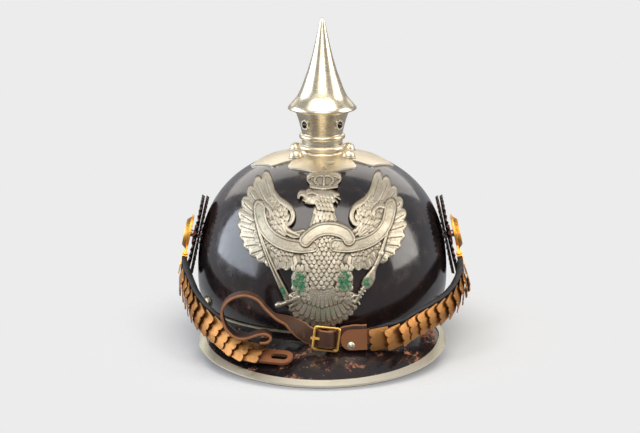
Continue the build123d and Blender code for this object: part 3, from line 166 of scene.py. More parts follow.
def dress(material, *names):
    """Gives CAD nodes a finish."""
    for name in names:
        node = nodes[name]
        node.data.materials.clear()
        node.data.materials.append(material)


def ring_faces(rings, size, start=0, turned=False):
    """Faces between neighbouring rings of points. Each ring is closed on itself."""
    faces = []
    for ring in range(rings - 1):
        for step in range(size):
            a, b = (start + ring * size + place for place in (step, (step + 1) % size))
            faces.append((a, a + size, b + size, b) if turned else (a, b, b + size, a + size))
    return faces


def set_down(mesh, material=None):
    """Puts a new mesh into the scene, smooth, under its own name."""
    mesh.polygons.foreach_set("use_smooth", [True] * len(mesh.polygons))
    piece = bpy.data.objects.new(mesh.name, mesh)
    bpy.context.scene.collection.objects.link(piece)
    if material:
        mesh.materials.append(material)
    return piece


# %% [markdown]
# ## Lacquered leather
# The skull is cowhide, pressed into shape and lacquered like a piano. It reflects the room
# sharply. Age has given it dull scuffs, and small chips where red-brown leather shows. A coat
# over a dark base gives the lacquer, and noise at three sizes gives the age.


# %% Skull and peaks
def lacquered_leather(name, chips, dull):
    lacquer = Finish(name)
    wide = lacquer.noise(14, 4)
    scuffs = lacquer.noise(60, 9, 0.75)
    flecks = lacquer.noise(330, 4, 0.7)
    scuffed = lacquer.ramp(scuffs, chips, chips + 0.05)
    chipped = lacquer.times(scuffed, lacquer.ramp(flecks, 0.47, 0.53))
    black, brownish = (0.006, 0.005, 0.006), (0.020, 0.011, 0.010)
    dark = lacquer.colour(lacquer.ramp(wide, 0.35, 0.7), black, brownish)
    worn = lacquer.colour(lacquer.ramp(scuffs, 0.5, 0.75), dark, (0.040, 0.018, 0.014))
    lacquer.base(lacquer.colour(chipped, worn, (0.40, 0.14, 0.06)))
    sheen = lacquer.ramp(scuffs, 0.4, 0.75, 0.10, dull)
    lacquer.rough(lacquer.times(sheen, lacquer.times(chipped, 0.5), "ADD"))
    lacquer.bump(lacquer.noise(22, 3), 0.00035)
    lacquer.bump(lacquer.noise(700, 3), 0.00002)
    lacquer.bump(lacquer.times(chipped, -1.0), 0.0001)
    lacquer.fixed(IOR=1.52, Coat_Weight=0.4, Coat_Roughness=0.07, Specular_IOR_Level=0.5)
    return lacquer.material


skull_leather = lacquered_leather("skull_lacquer", 0.66, 0.42)
peak_leather = lacquered_leather("peak_lacquer", 0.54, 0.5)
dress(skull_leather, "skull")
dress(peak_leather, "front_visor", "rear_visor")
print("lacquer on the skull and both peaks")

# %% [markdown]
# ## Nickel silver
# The spike, its base and the edging are nickel silver, a pale warm metal. Handling keeps it
# bright and leaves faint brushing round the turned parts, with brown spots of tarnish.


# %% Nickel silver fittings
def nickel_silver(name, metal, tarnish, rough, stretch):
    nickel = Finish(name)
    cloud = nickel.noise(38, 7, 0.65)
    spots = nickel.noise(420, 3, 0.6)
    lines = nickel.noise(900, 2, 0.5, stretch)
    dimmed = tuple(value * 0.74 for value in metal)
    shade = nickel.colour(nickel.ramp(cloud, 0.4, 0.72), metal, dimmed)
    shade = nickel.colour(nickel.ramp(spots, 0.66, 0.72, 0, tarnish), shade, (0.23, 0.16, 0.09))
    bright = nickel.colour(nickel.edges(), shade, (0.86, 0.80, 0.66))
    nickel.base(bright)
    nickel.rough(nickel.ramp(nickel.times(cloud, lines, "ADD"), 0.6, 1.0, rough, rough + 0.17))
    nickel.bump(lines, 0.000006)
    nickel.bump(nickel.noise(90, 3), 0.00002)
    nickel.fixed(Metallic=1.0)
    return nickel.material


spike_nickel = nickel_silver("spike_nickel", (0.80, 0.70, 0.52), 0.5, 0.13, (0.15, 0.15, 3.0))
edging_nickel = nickel_silver("edging_nickel", (0.70, 0.655, 0.50), 0.85, 0.26, (1, 1, 1))
base_nickel = nickel_silver("base_nickel", (0.80, 0.70, 0.52), 0.5, 0.22, (1, 1, 1))
dress(spike_nickel, "spike_cone", "spike_neck")
dress(base_nickel, "spike_base", "base_studs")
dress(edging_nickel, "front_visor_trim", "visor_band", "side_studs", "rear_spine",
      "spine_studs", "base_rivet", "chape_rivet")
print("nickel silver on eleven fittings")

# %% [markdown]
# ## The spike's flank
# The cone is thin sheet, spun on a lathe. Its flank is nearly straight and flares out only near
# the foot. The profile below is turned round the axis and closes on the inside a sheet's
# thickness away. It stands for the plain CAD cone and has the same foot and tip.

# %% Turn the spike
SPIKE_TIP, SPIKE_RIM, SHEET = 230.9, 166.0, 1.0
# Share of the height from rim to tip, radius in mm
FLANK = [
    (0.0, 24.7), (0.02, 23.7), (0.055, 21.7), (0.12, 18.1), (0.19, 15.8), (0.27, 13.8),
    (0.41, 10.5), (0.55, 7.8), (0.70, 5.4), (0.84, 3.4), (0.93, 2.2), (0.975, 1.5), (0.993, 0.9),
    (1.0, 0.02),
]
# Radius and height of the sheet that closes the foot, in mm
SPIKE_FOOT = [(18.1, 163.4), (20.7, 163.4), (23.6, 164.8), (24.3, 164.9), (24.7, 165.3)]


def turned_spike(turns=96):
    steps = np.linspace(0, 1, 61) ** 0.8
    shares, radii = zip(*FLANK)
    tall = SPIKE_TIP - SPIKE_RIM
    outside = [(float(np.interp(step, shares, radii)), SPIKE_RIM + tall * step) for step in steps]
    inside = [
        (max(radius - SHEET, 0.01), min(height, SPIKE_TIP - 4.0))
        for radius, height in reversed(outside) if height > SPIKE_RIM + 6
    ]
    profile = outside + inside + SPIKE_FOOT
    angles = [2 * math.pi * turn / turns for turn in range(turns)]
    verts = [
        (radius * math.cos(angle) * MM, radius * math.sin(angle) * MM, height * MM)
        for radius, height in profile for angle in angles
    ]
    faces = ring_faces(len(profile) + 1, turns)
    faces = [tuple(corner % len(verts) for corner in face) for face in faces]
    mesh = bpy.data.meshes.new("turned_spike")
    mesh.from_pydata(verts, [], faces)
    return mesh


turned = set_down(turned_spike(), spike_nickel)
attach(turned, "spike")
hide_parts("spike_cone")
print("spike turned with", len(turned.data.polygons), "faces")

# %% [markdown]
# ## Aged brass
# Rosettes, scales and buckle are brass, once gilded. The high places keep a golden shine, the
# metal goes brown in patches, and a few spots are nearly black. Inside corners, such as the gaps
# between the scales, are painted dark as shade.


# %% Brass fittings
def aged_brass(name, bright, brown, rough):
    brass = Finish(name)
    cloud = brass.noise(75, 8, 0.7)
    spots = brass.noise(520, 4, 0.65)
    shade = brass.colour(brass.ramp(cloud, 0.38, 0.62), bright, brown)
    shade = brass.colour(brass.ramp(spots, 0.50, 0.66, 0, 0.85), shade, (0.075, 0.036, 0.016))
    rubbed = tuple(min(1.0, value * 1.7) for value in bright)
    shade = brass.colour(brass.edges(0.51, 0.58), shade, rubbed)
    # Inside corners, such as the gaps between the scales, are painted dark as shade.
    shade = brass.colour(brass.edges(0.49, 0.43), shade, (0.04, 0.02, 0.01))
    brass.base(shade)
    brass.rough(brass.ramp(brass.times(cloud, spots, "ADD"), 0.7, 1.15, rough, rough + 0.25))
    brass.bump(spots, 0.00008)
    brass.bump(brass.noise(210, 5, 0.65), 0.0005)
    brass.fixed(Metallic=1.0)
    return brass.material


rosette_brass = aged_brass("rosette_brass", (0.58, 0.27, 0.045), (0.30, 0.11, 0.02), 0.28)
scale_brass = aged_brass("scale_brass", (0.27, 0.128, 0.042), (0.10, 0.043, 0.017), 0.33)
buckle_brass = aged_brass("buckle_brass", (0.56, 0.33, 0.09), (0.28, 0.14, 0.04), 0.25)
dress(rosette_brass, "rosette_left", "rosette_right", "hinge_pins", "hinge_leaf_left",
      "hinge_leaf_right")
dress(scale_brass, "chin_scales_left", "chin_scales_right")
dress(buckle_brass, "buckle_frame", "buckle_prong")
print("brass on rosettes, scales and buckle")

# %% [markdown]
# ## Strap leather
# All these leathers share one recipe, from the black strip under the scales and the brown chin
# strap to the paler lining. Grain is a network of small cells. Creases run across, and edges and
# high spots are rubbed.


# %% Strap and liner leather
def strap_leather(name, deep, worn, rub, rough=0.55, rim=None):
    hide = Finish(name)
    cloud = hide.noise(55, 7, 0.65)
    pores = hide.cells(1500)
    creases = hide.noise(260, 5, 0.7, (1, 1, 0.3))
    shade = hide.colour(hide.ramp(cloud, 0.35, 0.68), deep, worn)
    shade = hide.colour(hide.ramp(creases, 0.6, 0.75, 0, 0.6), shade, rub)
    shade = hide.colour(hide.edges(0.52, 0.60), shade, rub)
    if rim:
        bared = hide.times(hide.painted("rim"), hide.ramp(creases, 0.3, 0.6, 0.6, 1.0))
        shade = hide.colour(bared, shade, rim)
    hide.base(shade)
    hide.rough(hide.ramp(cloud, 0.3, 0.7, rough, rough + 0.2))
    hide.bump(hide.ramp(pores, 0.0, 0.25), 0.00004)
    hide.bump(creases, 0.00022)
    hide.fixed(Specular_IOR_Level=0.35)
    return hide.material


black_strip = strap_leather("black_strip_leather", (0.012, 0.012, 0.014), (0.035, 0.032, 0.033),
                            (0.09, 0.07, 0.06), 0.42)
brown_strap = strap_leather("brown_strap_leather", (0.040, 0.015, 0.007), (0.080, 0.031, 0.013),
                            (0.30, 0.130, 0.055), 0.5, (0.36, 0.15, 0.06))
tab_leather = strap_leather("tab_leather", (0.060, 0.017, 0.006), (0.110, 0.034, 0.012),
                            (0.24, 0.09, 0.035), 0.3)
liner_leather = strap_leather("liner_leather", (0.22, 0.14, 0.085), (0.30, 0.20, 0.125),
                              (0.14, 0.085, 0.05), 0.6)
dress(black_strip, "scale_backing_left", "scale_backing_right")
dress(tab_leather, "slotted_end_tab", "buckle_flap", "buckle_chape")
dress(liner_leather, "sweatband", "liner_tongues")
print("leather on strips, tabs and liner")

# %% [markdown]
# ## Small finishes
# The washer behind each rosette is red leather, the nuts and posts are plain steel, and the lace
# is a twisted cotton cord.

# %% Washers, steel and lace
red_leather = strap_leather("washer_leather", (0.55, 0.06, 0.012), (0.72, 0.13, 0.02),
                            (0.35, 0.05, 0.02))
dress(red_leather, "ear_washer_left", "ear_washer_right")


def plain_steel():
    steel = Finish("plain_steel")
    cloud = steel.noise(150, 6, 0.65)
    steel.base(steel.colour(steel.ramp(cloud, 0.4, 0.7), (0.42, 0.41, 0.39), (0.25, 0.17, 0.11)))
    steel.rough(steel.ramp(cloud, 0.4, 0.7, 0.3, 0.6))
    steel.bump(cloud, 0.00005)
    steel.fixed(Metallic=1.0)
    return steel.material


dress(plain_steel(), "ear_post_left", "ear_post_right", "ear_post_nuts", "base_stud_nuts",
      "plate_screws", "plate_nuts", "spike_stem")


def cotton_lace():
    cotton = Finish("cotton_lace")
    twist = cotton.noise(1400, 3, 0.6, (1, 1, 2.5))
    cotton.base(cotton.colour(twist, (0.42, 0.36, 0.25), (0.66, 0.59, 0.45)))
    cotton.bump(twist, 0.0003)
    cotton.fixed(Roughness=0.9)
    return cotton.material


dress(cotton_lace(), "liner_lace")
print("finishes made:", len(bpy.data.materials))

# %% [markdown]
# ## Soft corners on the metal
# Real sheet metal never ends in a razor edge. A narrow bevel catches a line of light along every
# corner. It is a modifier, so the CAD mesh below it stays as it came.


# %% Bevel the CAD edges
def soften(width, *names, segments=2):
    for name in names:
        bevel = nodes[name].modifiers.new("soft corners", "BEVEL")
        bevel.width = width
        bevel.segments = segments
        bevel.limit_method = "ANGLE"
        bevel.angle_limit = math.radians(35)
        bevel.harden_normals = False


soften(0.15 * MM, "chin_scales_left", "chin_scales_right", "hinge_leaf_left", "hinge_leaf_right",
       "buckle_frame", "buckle_prong")
soften(0.35 * MM, "slotted_end_tab", "buckle_flap", "scale_backing_left", "scale_backing_right")
soften(0.25 * MM, "rosette_left", "rosette_right", "spike_base")
RAISED = {"visor_band": 0.55 * MM, "side_studs": 0.7 * MM, "base_rivet": 0.3 * MM}
for name, grown in RAISED.items():
    swell = nodes[name].modifiers.new("raised trim", "DISPLACE")
    swell.strength = grown
    swell.mid_level = 0
print("bevels set on the thin metal and leather")

# %% [markdown]
# ## The eagle: a pressed sheet as a height map
# The front plate is one thin sheet struck between two dies. Such a relief is a height above the
# skull for every place in the front view, so it is drawn as an array: each feather, band and
# bead raises its own patch of heights, and the higher one wins where two meet. The array then
# becomes a mesh that lies on the skull. The scroll across the wings and the breast are left bare.

# %% The drawing board
STEP = 0.3
LEFT, RIGHT, LOW, HIGH = -60.5, 60.5, 30.0, 131.0
across = np.arange(LEFT, RIGHT, STEP)
up = np.arange(LOW, HIGH, STEP)
X, Z = np.meshgrid(across, up)
relief = np.zeros_like(X)
print("drawing board:", relief.shape)


def window(x_values, z_values, margin):
    """The part of the board round some places, so that a small feather costs little time."""

    def span(values, start):
        first = int((min(values) - margin - start) / STEP)
        last = int((max(values) + margin - start) / STEP)
        return slice(max(first, 0), max(last + 2, 0))

    return span(z_values, LOW), span(x_values, LEFT)


def strike(patch):
    """Lays a patch of heights on the board: the higher of the two stays."""
    where, height = patch
    board = relief[where]
    higher = height > board
    board[higher] = height[higher]


def feather(root, tip, width, low, rise, crown, quill=0.10, tilt=0.0, barbs=0.05, blunt=0.35):
    """One feather from root to tip. It widens from its root and has a quill and fine barbs."""
    where = window((root[0], tip[0]), (root[1], tip[1]), width + 0.5)
    x, z = X[where], Z[where]
    reach = math.hypot(tip[0] - root[0], tip[1] - root[1])
    lead = ((tip[0] - root[0]) / reach, (tip[1] - root[1]) / reach)
    u = ((x - root[0]) * lead[0] + (z - root[1]) * lead[1]) / reach
    v = -(x - root[0]) * lead[1] + (z - root[1]) * lead[0]
    inside = np.clip(u, 0, 1)
    grow = np.minimum(1, 0.45 + inside / blunt * 0.55)
    start = max(1 - 1.15 * width / reach, 0.3)
    tail = np.sqrt(np.clip(1 - np.clip((inside - start) / (1 - start), 0, 1) ** 2, 0, 1))
    half = np.maximum(width * grow * tail, 1e-6)
    w = v / half
    height = low + rise * inside + crown * np.sqrt(np.clip(1 - w**2, 0, 1)) + tilt * w
    height -= quill * np.exp(-((v / 0.32) ** 2)) * (inside < 0.93)
    height += barbs * np.sin((np.abs(v) * 1.1 + u * reach) * 3.6)
    height[(u < 0) | (u > 1) | (np.abs(w) > 1)] = -1
    return where, height


def edge_distance(points):
    """Distance from every place on the board to the outline, positive inside."""
    best = np.full_like(X, 1e9)
    inside = np.zeros(X.shape, bool)
    count = len(points)
    for index in range(count):
        (ax, az), (bx, bz) = points[index], points[(index + 1) % count]
        dx, dz = bx - ax, bz - az
        share = np.clip(((X - ax) * dx + (Z - az) * dz) / (dx * dx + dz * dz + 1e-12), 0, 1)
        best = np.minimum(best, np.hypot(X - ax - share * dx, Z - az - share * dz))
        crosses = (az > Z) != (bz > Z)
        if dz:
            inside ^= crosses & (X < ax + (Z - az) * dx / dz)
    return np.where(inside, best, -best)


def pillow(points, low, rise, roll):
    """An outline raised like a pillow: rounded over a width at its edge."""
    depth = edge_distance(points)
    share = np.clip(depth / roll, 0, 1)
    height = low + rise * np.sqrt(1 - (1 - share) ** 2)
    height[depth < 0] = -1
    return (slice(None), slice(None)), height


def bead(x, z, radius, low, rise):
    where = window((x,), (z,), radius)
    distance = np.hypot(X[where] - x, Z[where] - z) / radius
    height = low + rise * np.sqrt(np.clip(1 - distance**2, 0, 1))
    height[distance > 1] = -1
    return where, height


def smooth_line(points, parts=8):
    """A smooth line through points, by the rule that each piece leans on its neighbours."""
    points = [np.array(point, float) for point in points]
    ends = [2 * points[0] - points[1], *points, 2 * points[-1] - points[-2]]
    line = []
    for a, b, c, d in zip(ends, ends[1:], ends[2:], ends[3:]):
        for part in range(parts):
            t = part / parts
            square, cube = 2 * a - 5 * b + 4 * c - d, 3 * b - a - 3 * c + d
            line.append(0.5 * (2 * b + (c - a) * t + square * t**2 + cube * t**3))
    return [*line, points[-1]]


def ribbon(points, half, low, rise, roll=None, border=0.0, dip=0.0):
    """A band along a line: rounded like a rod, or flat with a raised border."""
    points = smooth_line(points, 6)
    where = window([p[0] for p in points], [p[1] for p in points], 4.5)
    x, z = X[where], Z[where]
    best = np.full_like(x, 1e9)
    along = np.zeros_like(x)
    run = 0.0
    for (ax, az), (bx, bz) in zip(points, points[1:]):
        dx, dz = bx - ax, bz - az
        length = math.hypot(dx, dz) + 1e-9
        share = np.clip(((x - ax) * dx + (z - az) * dz) / length**2, 0, 1)
        distance = np.hypot(x - ax - share * dx, z - az - share * dz)
        nearer = distance < best
        best[nearer] = distance[nearer]
        along[nearer] = (run + share * length)[nearer]
        run += length
    wide = half(along / run) if callable(half) else half
    inside = np.clip((wide - best) / (roll or wide), 0, 1)
    height = low + rise * np.sqrt(1 - (1 - inside) ** 2)
    if border:
        hem = border * np.exp(-(((wide - best - 0.75) / 0.42) ** 2))
        height += hem - dip * (best < wide - 1.3)
    height[best > wide] = -1
    return where, height


def depth_at(depth, x, z):
    """The value of an array on the board at a place."""
    return depth[int((z - LOW) / STEP), int((x - LEFT) / STEP)]


# %% [markdown]
# ### Wings
# Each wing has long flight feathers along its rim, four shorter rows over their roots, and a
# rolled front edge. Rows are struck from the tips inwards, each a little higher, like tiles on
# a roof.

# %% Strike the wings
wing_tips = [
    (40.8, 125.0), (47.2, 121.4), (52.3, 116.0), (56.3, 109.4), (58.6, 102.2), (58.8, 95.2),
    (57.2, 88.6), (54.2, 82.9), (49.9, 78.5), (44.4, 75.2), (38.0, 72.8), (31.4, 71.3),
    (24.8, 71.2), (18.9, 72.8),
]
wing_root = (23.0, 91.5)


def between(a, b, share):
    return (a[0] + (b[0] - a[0]) * share, a[1] + (b[1] - a[1]) * share)


def flip(side, point):
    return (side * point[0], point[1])


def flip_all(side, points):
    return [flip(side, point) for point in points]


lining = [(32, 117), (23.5, 109.5), (22, 103), (25, 97), (22, 92), (34, 90), (40, 100), (38, 114)]
lining_depth = edge_distance(lining)
rows = ((0.30, 2.9, 1.15, 18), (0.46, 2.4, 1.4, 16), (0.60, 2.0, 1.6, 14), (0.72, 1.7, 1.75, 11))
for side in (-1, 1):
    for index, tip in enumerate(wing_tips):
        wide = 3.9 + 0.25 * math.sin(index * 2.3)
        root = between(tip, wing_root, 0.8)
        ends = flip_all(side, (root, tip))
        strike(feather(*ends, wide, 0.7, 0.8, 1.15, 0.32, side * 0.4, 0.03))
        if index + 1 < len(wing_tips):
            middle = between(tip, wing_tips[index + 1], 0.5)
            end = between(middle, wing_root, 0.055)
            root = between(end, wing_root, 0.7)
            ends = flip_all(side, (root, end))
            strike(feather(*ends, 3.0, 0.7, 0.7, 0.95, 0.26, side * 0.3, 0.03))
    for row, (inset, width, low, count) in enumerate(rows):
        for step in range(count):
            place = (step + 0.5 * (row % 2)) / (count - 0.5) * (len(wing_tips) - 1)
            base = min(int(place), len(wing_tips) - 2)
            rim = between(wing_tips[base], wing_tips[base + 1], min(place - base, 1))
            inset_here = inset + 0.035 * math.sin(step * 1.9 + row)
            tip = between(rim, wing_root, inset_here)
            root = between(rim, wing_root, min(inset_here + 0.26, 0.93))
            ends = flip_all(side, (root, tip))
            strike(feather(*ends, width, low, 0.7, 0.85, 0.22, side * 0.3, 0.02))
    shoulder = [
        (40.0, 124.0), (35.2, 118.8), (29.5, 113.6), (22.0, 109.8), (20.0, 105.6), (21.6, 101.6),
        (25.0, 99.2), (23.0, 96.6), (17.5, 94.8), (12.5, 92.8),
    ]
    swell = lambda t: 0.8 + 0.9 * np.sin(np.pi * np.clip(t, 0, 1))
    strike(ribbon(flip_all(side, shoulder), swell, 1.5, 1.2))
    inner = [
        (36, 120), (30, 114.5), (23.5, 109), (22, 104), (25, 100), (26, 96), (20, 93), (8, 90),
        (7, 66), (14, 74), (30, 78), (40, 88), (44, 100), (42, 114), (41, 122),
    ]
    strike(pillow(flip_all(side, inner), 0.7, 0.9, 6))
    for row in range(8):
        for step in range(6):
            x = 23.5 + step * 2.7 + (row % 2) * 1.3
            z = 116.0 - row * 2.9 - step * 0.5
            if depth_at(lining_depth, x, z) > 0.4:
                lean = 1.3 + 0.3 * math.sin(row * 2 + step)
                ends = flip_all(side, ((x - 0.9, z + 1.7), (x + lean, z - 1.9)))
                strike(feather(*ends, 1.65, 1.6, 0.4, 0.7, 0.12, 0, 0.02, 0.5))
print("wings struck, highest", round(float(relief.max()), 2), "mm")

# %% [markdown]
# ### Tail, thighs and claws
# The tail opens like a fan below the body. Over its root hang two thighs of shaggy feathers, and
# from each comes a leg whose claw grips the sword or the sceptre.

# %% Strike the tail, thighs and claws
tail_root = [
    (-9, 70), (9, 70), (14, 52), (20, 44), (12, 38), (0, 35), (-12, 38), (-20, 44), (-14, 52),
]
strike(pillow(tail_root, 0.6, 0.6, 4))
claws = (
    [(19, 52.5), (22.5, 54.5), (25.8, 52.2)],
    [(19.5, 50.8), (23.5, 50.6), (25.5, 48.2)],
    [(18.5, 49.5), (21.5, 47.3), (22.0, 44.6)],
)
tail_ends = [
    (-23.6, 47.5), (-22.2, 43.6), (-19.0, 39.6), (-15.0, 36.6), (-10.6, 34.4), (-6.2, 32.7),
    (-1.6, 31.8), (3.2, 31.9), (7.8, 33.0), (12.2, 34.9), (16.4, 37.3), (20.2, 40.6),
    (23.2, 44.8),
]
for index, tip in enumerate(tail_ends):
    strike(feather((tip[0] * 0.25, 62), tip, 2.7, 0.9, 0.7, 0.85, 0.3, 0.2, 0.03, 0.5))
    strike(bead(tip[0] * 0.985, tip[1] + 0.9, 1.25, 1.6, 0.7))
for index, tip in enumerate(tail_ends[:-1]):
    middle = between(tip, tail_ends[index + 1], 0.5)
    end = between(middle, (0, 62), 0.14)
    strike(feather((end[0] * 0.3, 63), end, 1.7, 1.4, 0.7, 0.7, 0.22, -0.1, 0.05, 0.5))
for index in range(9):
    x = -10 + index * 2.5
    end = (x * 1.25, 46.5 + abs(x) * 0.35)
    strike(feather((x * 0.35, 67), end, 1.5, 2.0, 0.4, 0.7, 0.2, 0, 0.04, 0.5))
for side in (-1, 1):
    for step in range(6):
        x = side * (14.0 + 1.6 * step)
        end = (x * 1.06, 50.5 - step * 1.2 + step * step * 0.35)
        strike(feather((x * 0.75, 58), end, 1.5, 1.6, 0.5, 0.6, 0.18, 0, 0.04))
    thigh = [
        (8.6, 74), (13.5, 76.5), (19.0, 74), (21.2, 67), (20.6, 59), (17.6, 52.5), (13.5, 50.5),
        (10.6, 55), (8.4, 63),
    ]
    strike(pillow(flip_all(side, thigh), 1.3, 1.5, 5.0))
    for row in range(7):
        for step in range(4):
            x = 10.2 + step * 3.1 + (row % 2) * 1.5 - row * 0.1
            z = 74.5 - row * 3.3
            if x < 20.8 - row * 0.15:
                bend = 0.8 * math.sin(row * 1.7 + step * 2.1)
                ends = flip_all(side, ((x, z + 1.4), (x + 0.3 + bend, z - 3.4)))
                strike(feather(*ends, 1.75, 2.15, 0.5, 0.75, 0.16, 0, 0.03, 0.5))
    leg = [(15.5, 53), (17.5, 50.5), (20.5, 51.0)]
    strike(ribbon(flip_all(side, leg), 2.0, 2.0, 1.1))
    for claw in claws:
        strike(ribbon(flip_all(side, claw), lambda t: 1.25 - 0.6 * t, 2.2, 0.95))
print("tail and thighs struck")

# %% [markdown]
# ### Breast, neck and head
# Breast and neck carry small overlapping feathers in rows. The head looks to the viewer's left,
# with a heavy brow and a hooked beak. The crown sits on it with ribbons behind.

# %% Strike the body and head
body = [
    (-12.5, 92), (-10.6, 97), (-8.2, 102), (-6.4, 107), (-5.6, 111), (7.6, 111), (9.6, 105),
    (12.0, 98), (15.0, 92), (15.2, 84), (13.5, 74), (9.5, 64), (5.0, 57), (-5.0, 57), (-9.5, 64),
    (-12.0, 73), (-14.0, 82),
]
strike(pillow(body, 1.2, 1.6, 8.0))
body_depth = edge_distance(body)
for row in range(19):
    pitch = 2.35 + 0.07 * row
    z = 112.0 - row * 2.75
    for step in range(-7, 8):
        x = 1.2 + (step + 0.5 * (row % 2)) * pitch + 0.25 * math.sin(step * 2.7 + row * 1.3)
        if not (LEFT < x < RIGHT):
            continue
        depth = depth_at(body_depth, x, z)
        if depth > 0.9:
            ground = 1.2 + 1.6 * math.sqrt(1 - (1 - min(depth / 8.0, 1)) ** 2)
            lean = x * 0.07
            root = (x - lean * 0.3, z + 1.3)
            tip = (x + lean, z - 2.7 + 0.4 * math.sin(step * 1.7 + row))
            strike(feather(root, tip, pitch * 0.6, ground - 0.5, 0.5, 0.75, 0.14, 0, 0.02, 0.55))
HEAD = 1.7
head = [
    (-12.8, 116.6), (-14.6, 116.9), (-16.3, 115.9), (-16.7, 114.2), (-15.6, 112.9),
    (-14.9, 114.3), (-13.2, 114.0), (-13.6, 112.6), (-11.5, 110.8), (-8.6, 110.2), (-5.6, 110.4),
    (-1.0, 111.5), (3.0, 111.2), (7.2, 112.4), (8.6, 115.0), (6.2, 118.6), (0, 119.8),
    (-6, 119.4), (-10.2, 118.4),
]
strike(pillow([(x, z + HEAD) for x, z in head], 1.3, 1.7, 3.6))


def head_ribbon(points, *sizes):
    strike(ribbon([(x, z + HEAD) for x, z in points], *sizes))


beak = [(-16.3, 114.2), (-15.6, 116.0), (-12.6, 116.2), (-9.4, 114.8)]
head_ribbon(beak, lambda t: 0.9 + 0.9 * t, 2.3, 0.9)
head_ribbon([(-13.4, 113.0), (-11.2, 112.6), (-8.2, 112.0)], lambda t: 0.5 + 0.5 * t, 2.2, 0.8)
head_ribbon([(-9.8, 117.0), (-6.6, 117.6), (-3.0, 116.6)], 0.8, 2.9, 0.7)
strike(bead(-6.3, 115.2 + HEAD, 1.0, 2.9, 0.55))
for row in range(4):
    for step in range(5):
        x, z = -4.4 + step * 2.5 + (row % 2) * 1.2, 117.6 + HEAD - row * 2.5 - step * 0.25
        root, tip = (x - 1.2, z + 0.9), (x + 1.8, z - 2.0)
        strike(feather(root, tip, 1.35, 2.25, 0.5, 0.65, 0.12, 0, 0.02, 0.5))
for tip in ((11.6, 115.6), (12.4, 113.2), (10.6, 111.4)):
    middle = between((5.5, 117.6), tip, 0.55)
    head_ribbon([(5.5, 117.6), middle, tip], lambda t: 1.15 - 0.75 * t, 2.0, 0.9)


def crown_place(x, z):
    """The crown is drawn 9.4 mm tall and set on the head at its real height."""
    return (x + 0.9, 121.4 + (z - 119.0) * 0.68)


crown = [
    (-8.2, 119.0), (-8.8, 121.3), (-11.8, 124.0), (-11.6, 126.6), (-8.2, 128.4), (-3.8, 127.4),
    (0.3, 128.6), (4.4, 127.4), (8.8, 128.4), (12.2, 126.6), (12.4, 124.0), (9.4, 121.3),
    (8.8, 119.0),
]
strike(pillow([crown_place(*point) for point in crown], 1.4, 1.0, 2.2))
crown_rim = [(-8.6, 120.0), (0.3, 119.2), (9.2, 120.0)]
strike(ribbon([crown_place(*point) for point in crown_rim], 1.1, 2.3, 0.8))
for reach in (-11.0, -6.2, 0.3, 6.8, 11.6):
    arch = [(reach * 0.62, 121.2), (reach, 124.6), (reach * 0.72, 127.6), (0.3, 128.2)]
    strike(ribbon([crown_place(*point) for point in arch], 0.9, 2.1, 0.9))
    for share in (0.2, 0.5, 0.8):
        pearl = crown_place(reach * (0.75 + 0.25 * math.sin(share * 3.1)), 121.6 + share * 5.6)
        strike(bead(*pearl, 0.62, 3.0, 0.5))
for step in range(9):
    pearl = crown_place(-7.4 + step * 1.93, 119.9 - 0.7 * math.sin(step / 8 * math.pi))
    strike(bead(*pearl, 0.55, 3.0, 0.4))
strike(bead(1.2, 128.1, 1.1, 2.2, 0.9))
strike(ribbon([(1.2, 128.2), (1.2, 129.9)], 0.6, 2.1, 0.7))
strike(ribbon([(-0.2, 129.2), (2.6, 129.2)], 0.55, 2.1, 0.7))
print("body, head and crown struck")

# %% [markdown]
# ### Scroll, sword and sceptre
# The scroll lies over the wings in three lengths, each a flat band with a raised border, and its
# ends curl at the wings' shoulders. Its field is plain. The sword hangs on the left and the
# sceptre on the right, both on top of everything else.

# %% Strike the scroll and what the claws hold
scroll_wing = [
    (43.4, 107.6), (43.0, 104.4), (40.6, 98.2), (35.6, 92.8), (27.6, 89.0), (17.0, 87.4),
    (7.0, 88.2),
]
scroll_curl = [(43.4, 108.6), (38.8, 109.6), (35.4, 107.0), (36.4, 103.8), (39.2, 104.6)]
for side in (-1, 1):
    tuck = flip_all(side, ((13.0, 95.6), (19.5, 94.4), (24.5, 96.6)))
    strike(ribbon(tuck, 2.4, 1.7, 0.6, 0.7, 0.3, 0.1))
    band = flip_all(side, scroll_wing)
    if side > 0:
        band = [(x * 1.05 + 1.5, z + 0.4) for x, z in scroll_wing]
    strike(ribbon(band, 4.3, 2.6, 0.7, 0.85, 0.45, 0.14))
    strike(ribbon(flip_all(side, scroll_curl), lambda t: 1.6 - 0.8 * t, 2.3, 0.9))
middle_band = [
    (-11.5, 91.4), (-8.0, 94.8), (-2.5, 97.9), (4.4, 98.9), (11.0, 97.8), (16.0, 95.4),
    (18.4, 92.0),
]
strike(ribbon(middle_band, 4.2, 3.1, 0.6, 0.85, 0.45, 0.14))
blade = [(-46.3, 102.0), (-40.6, 87.4), (-33.4, 71.6), (-23.6, 52.4)]
strike(ribbon(blade, lambda t: 0.9 + 1.5 * t, 2.5, 0.9, 1.0, 0.35, 0.4))
hilt = [(-30.5, 46.8), (-27.0, 48.2), (-22.5, 50.6), (-16.5, 53.8)]
strike(ribbon(hilt, lambda t: 1.9 - 0.5 * np.sin(np.pi * t), 2.4, 1.3))
strike(bead(-29.6, 47.4, 2.0, 2.4, 1.4))
strike(bead(-17.0, 53.6, 1.7, 2.4, 1.3))
strike(ribbon([(22.5, 50.0), (26.0, 55.5), (28.4, 59.4)], lambda t: 1.5 + 0.3 * t, 2.4, 1.3))
for share in (0.35, 0.6, 0.85):
    start = between((21.2, 52.0), (27.2, 60.2), share)
    end = between((24.4, 50.4), (30.4, 58.2), share)
    strike(ribbon([start, end], 0.6, 3.0, 0.8))
sceptre = [
    (27.8, 58.2), (26.4, 62.0), (28.0, 66.2), (32.4, 70.8), (36.2, 75.2), (38.4, 74.0),
    (36.6, 69.5), (36.2, 64.5), (34.4, 60.4), (31.0, 57.6),
]
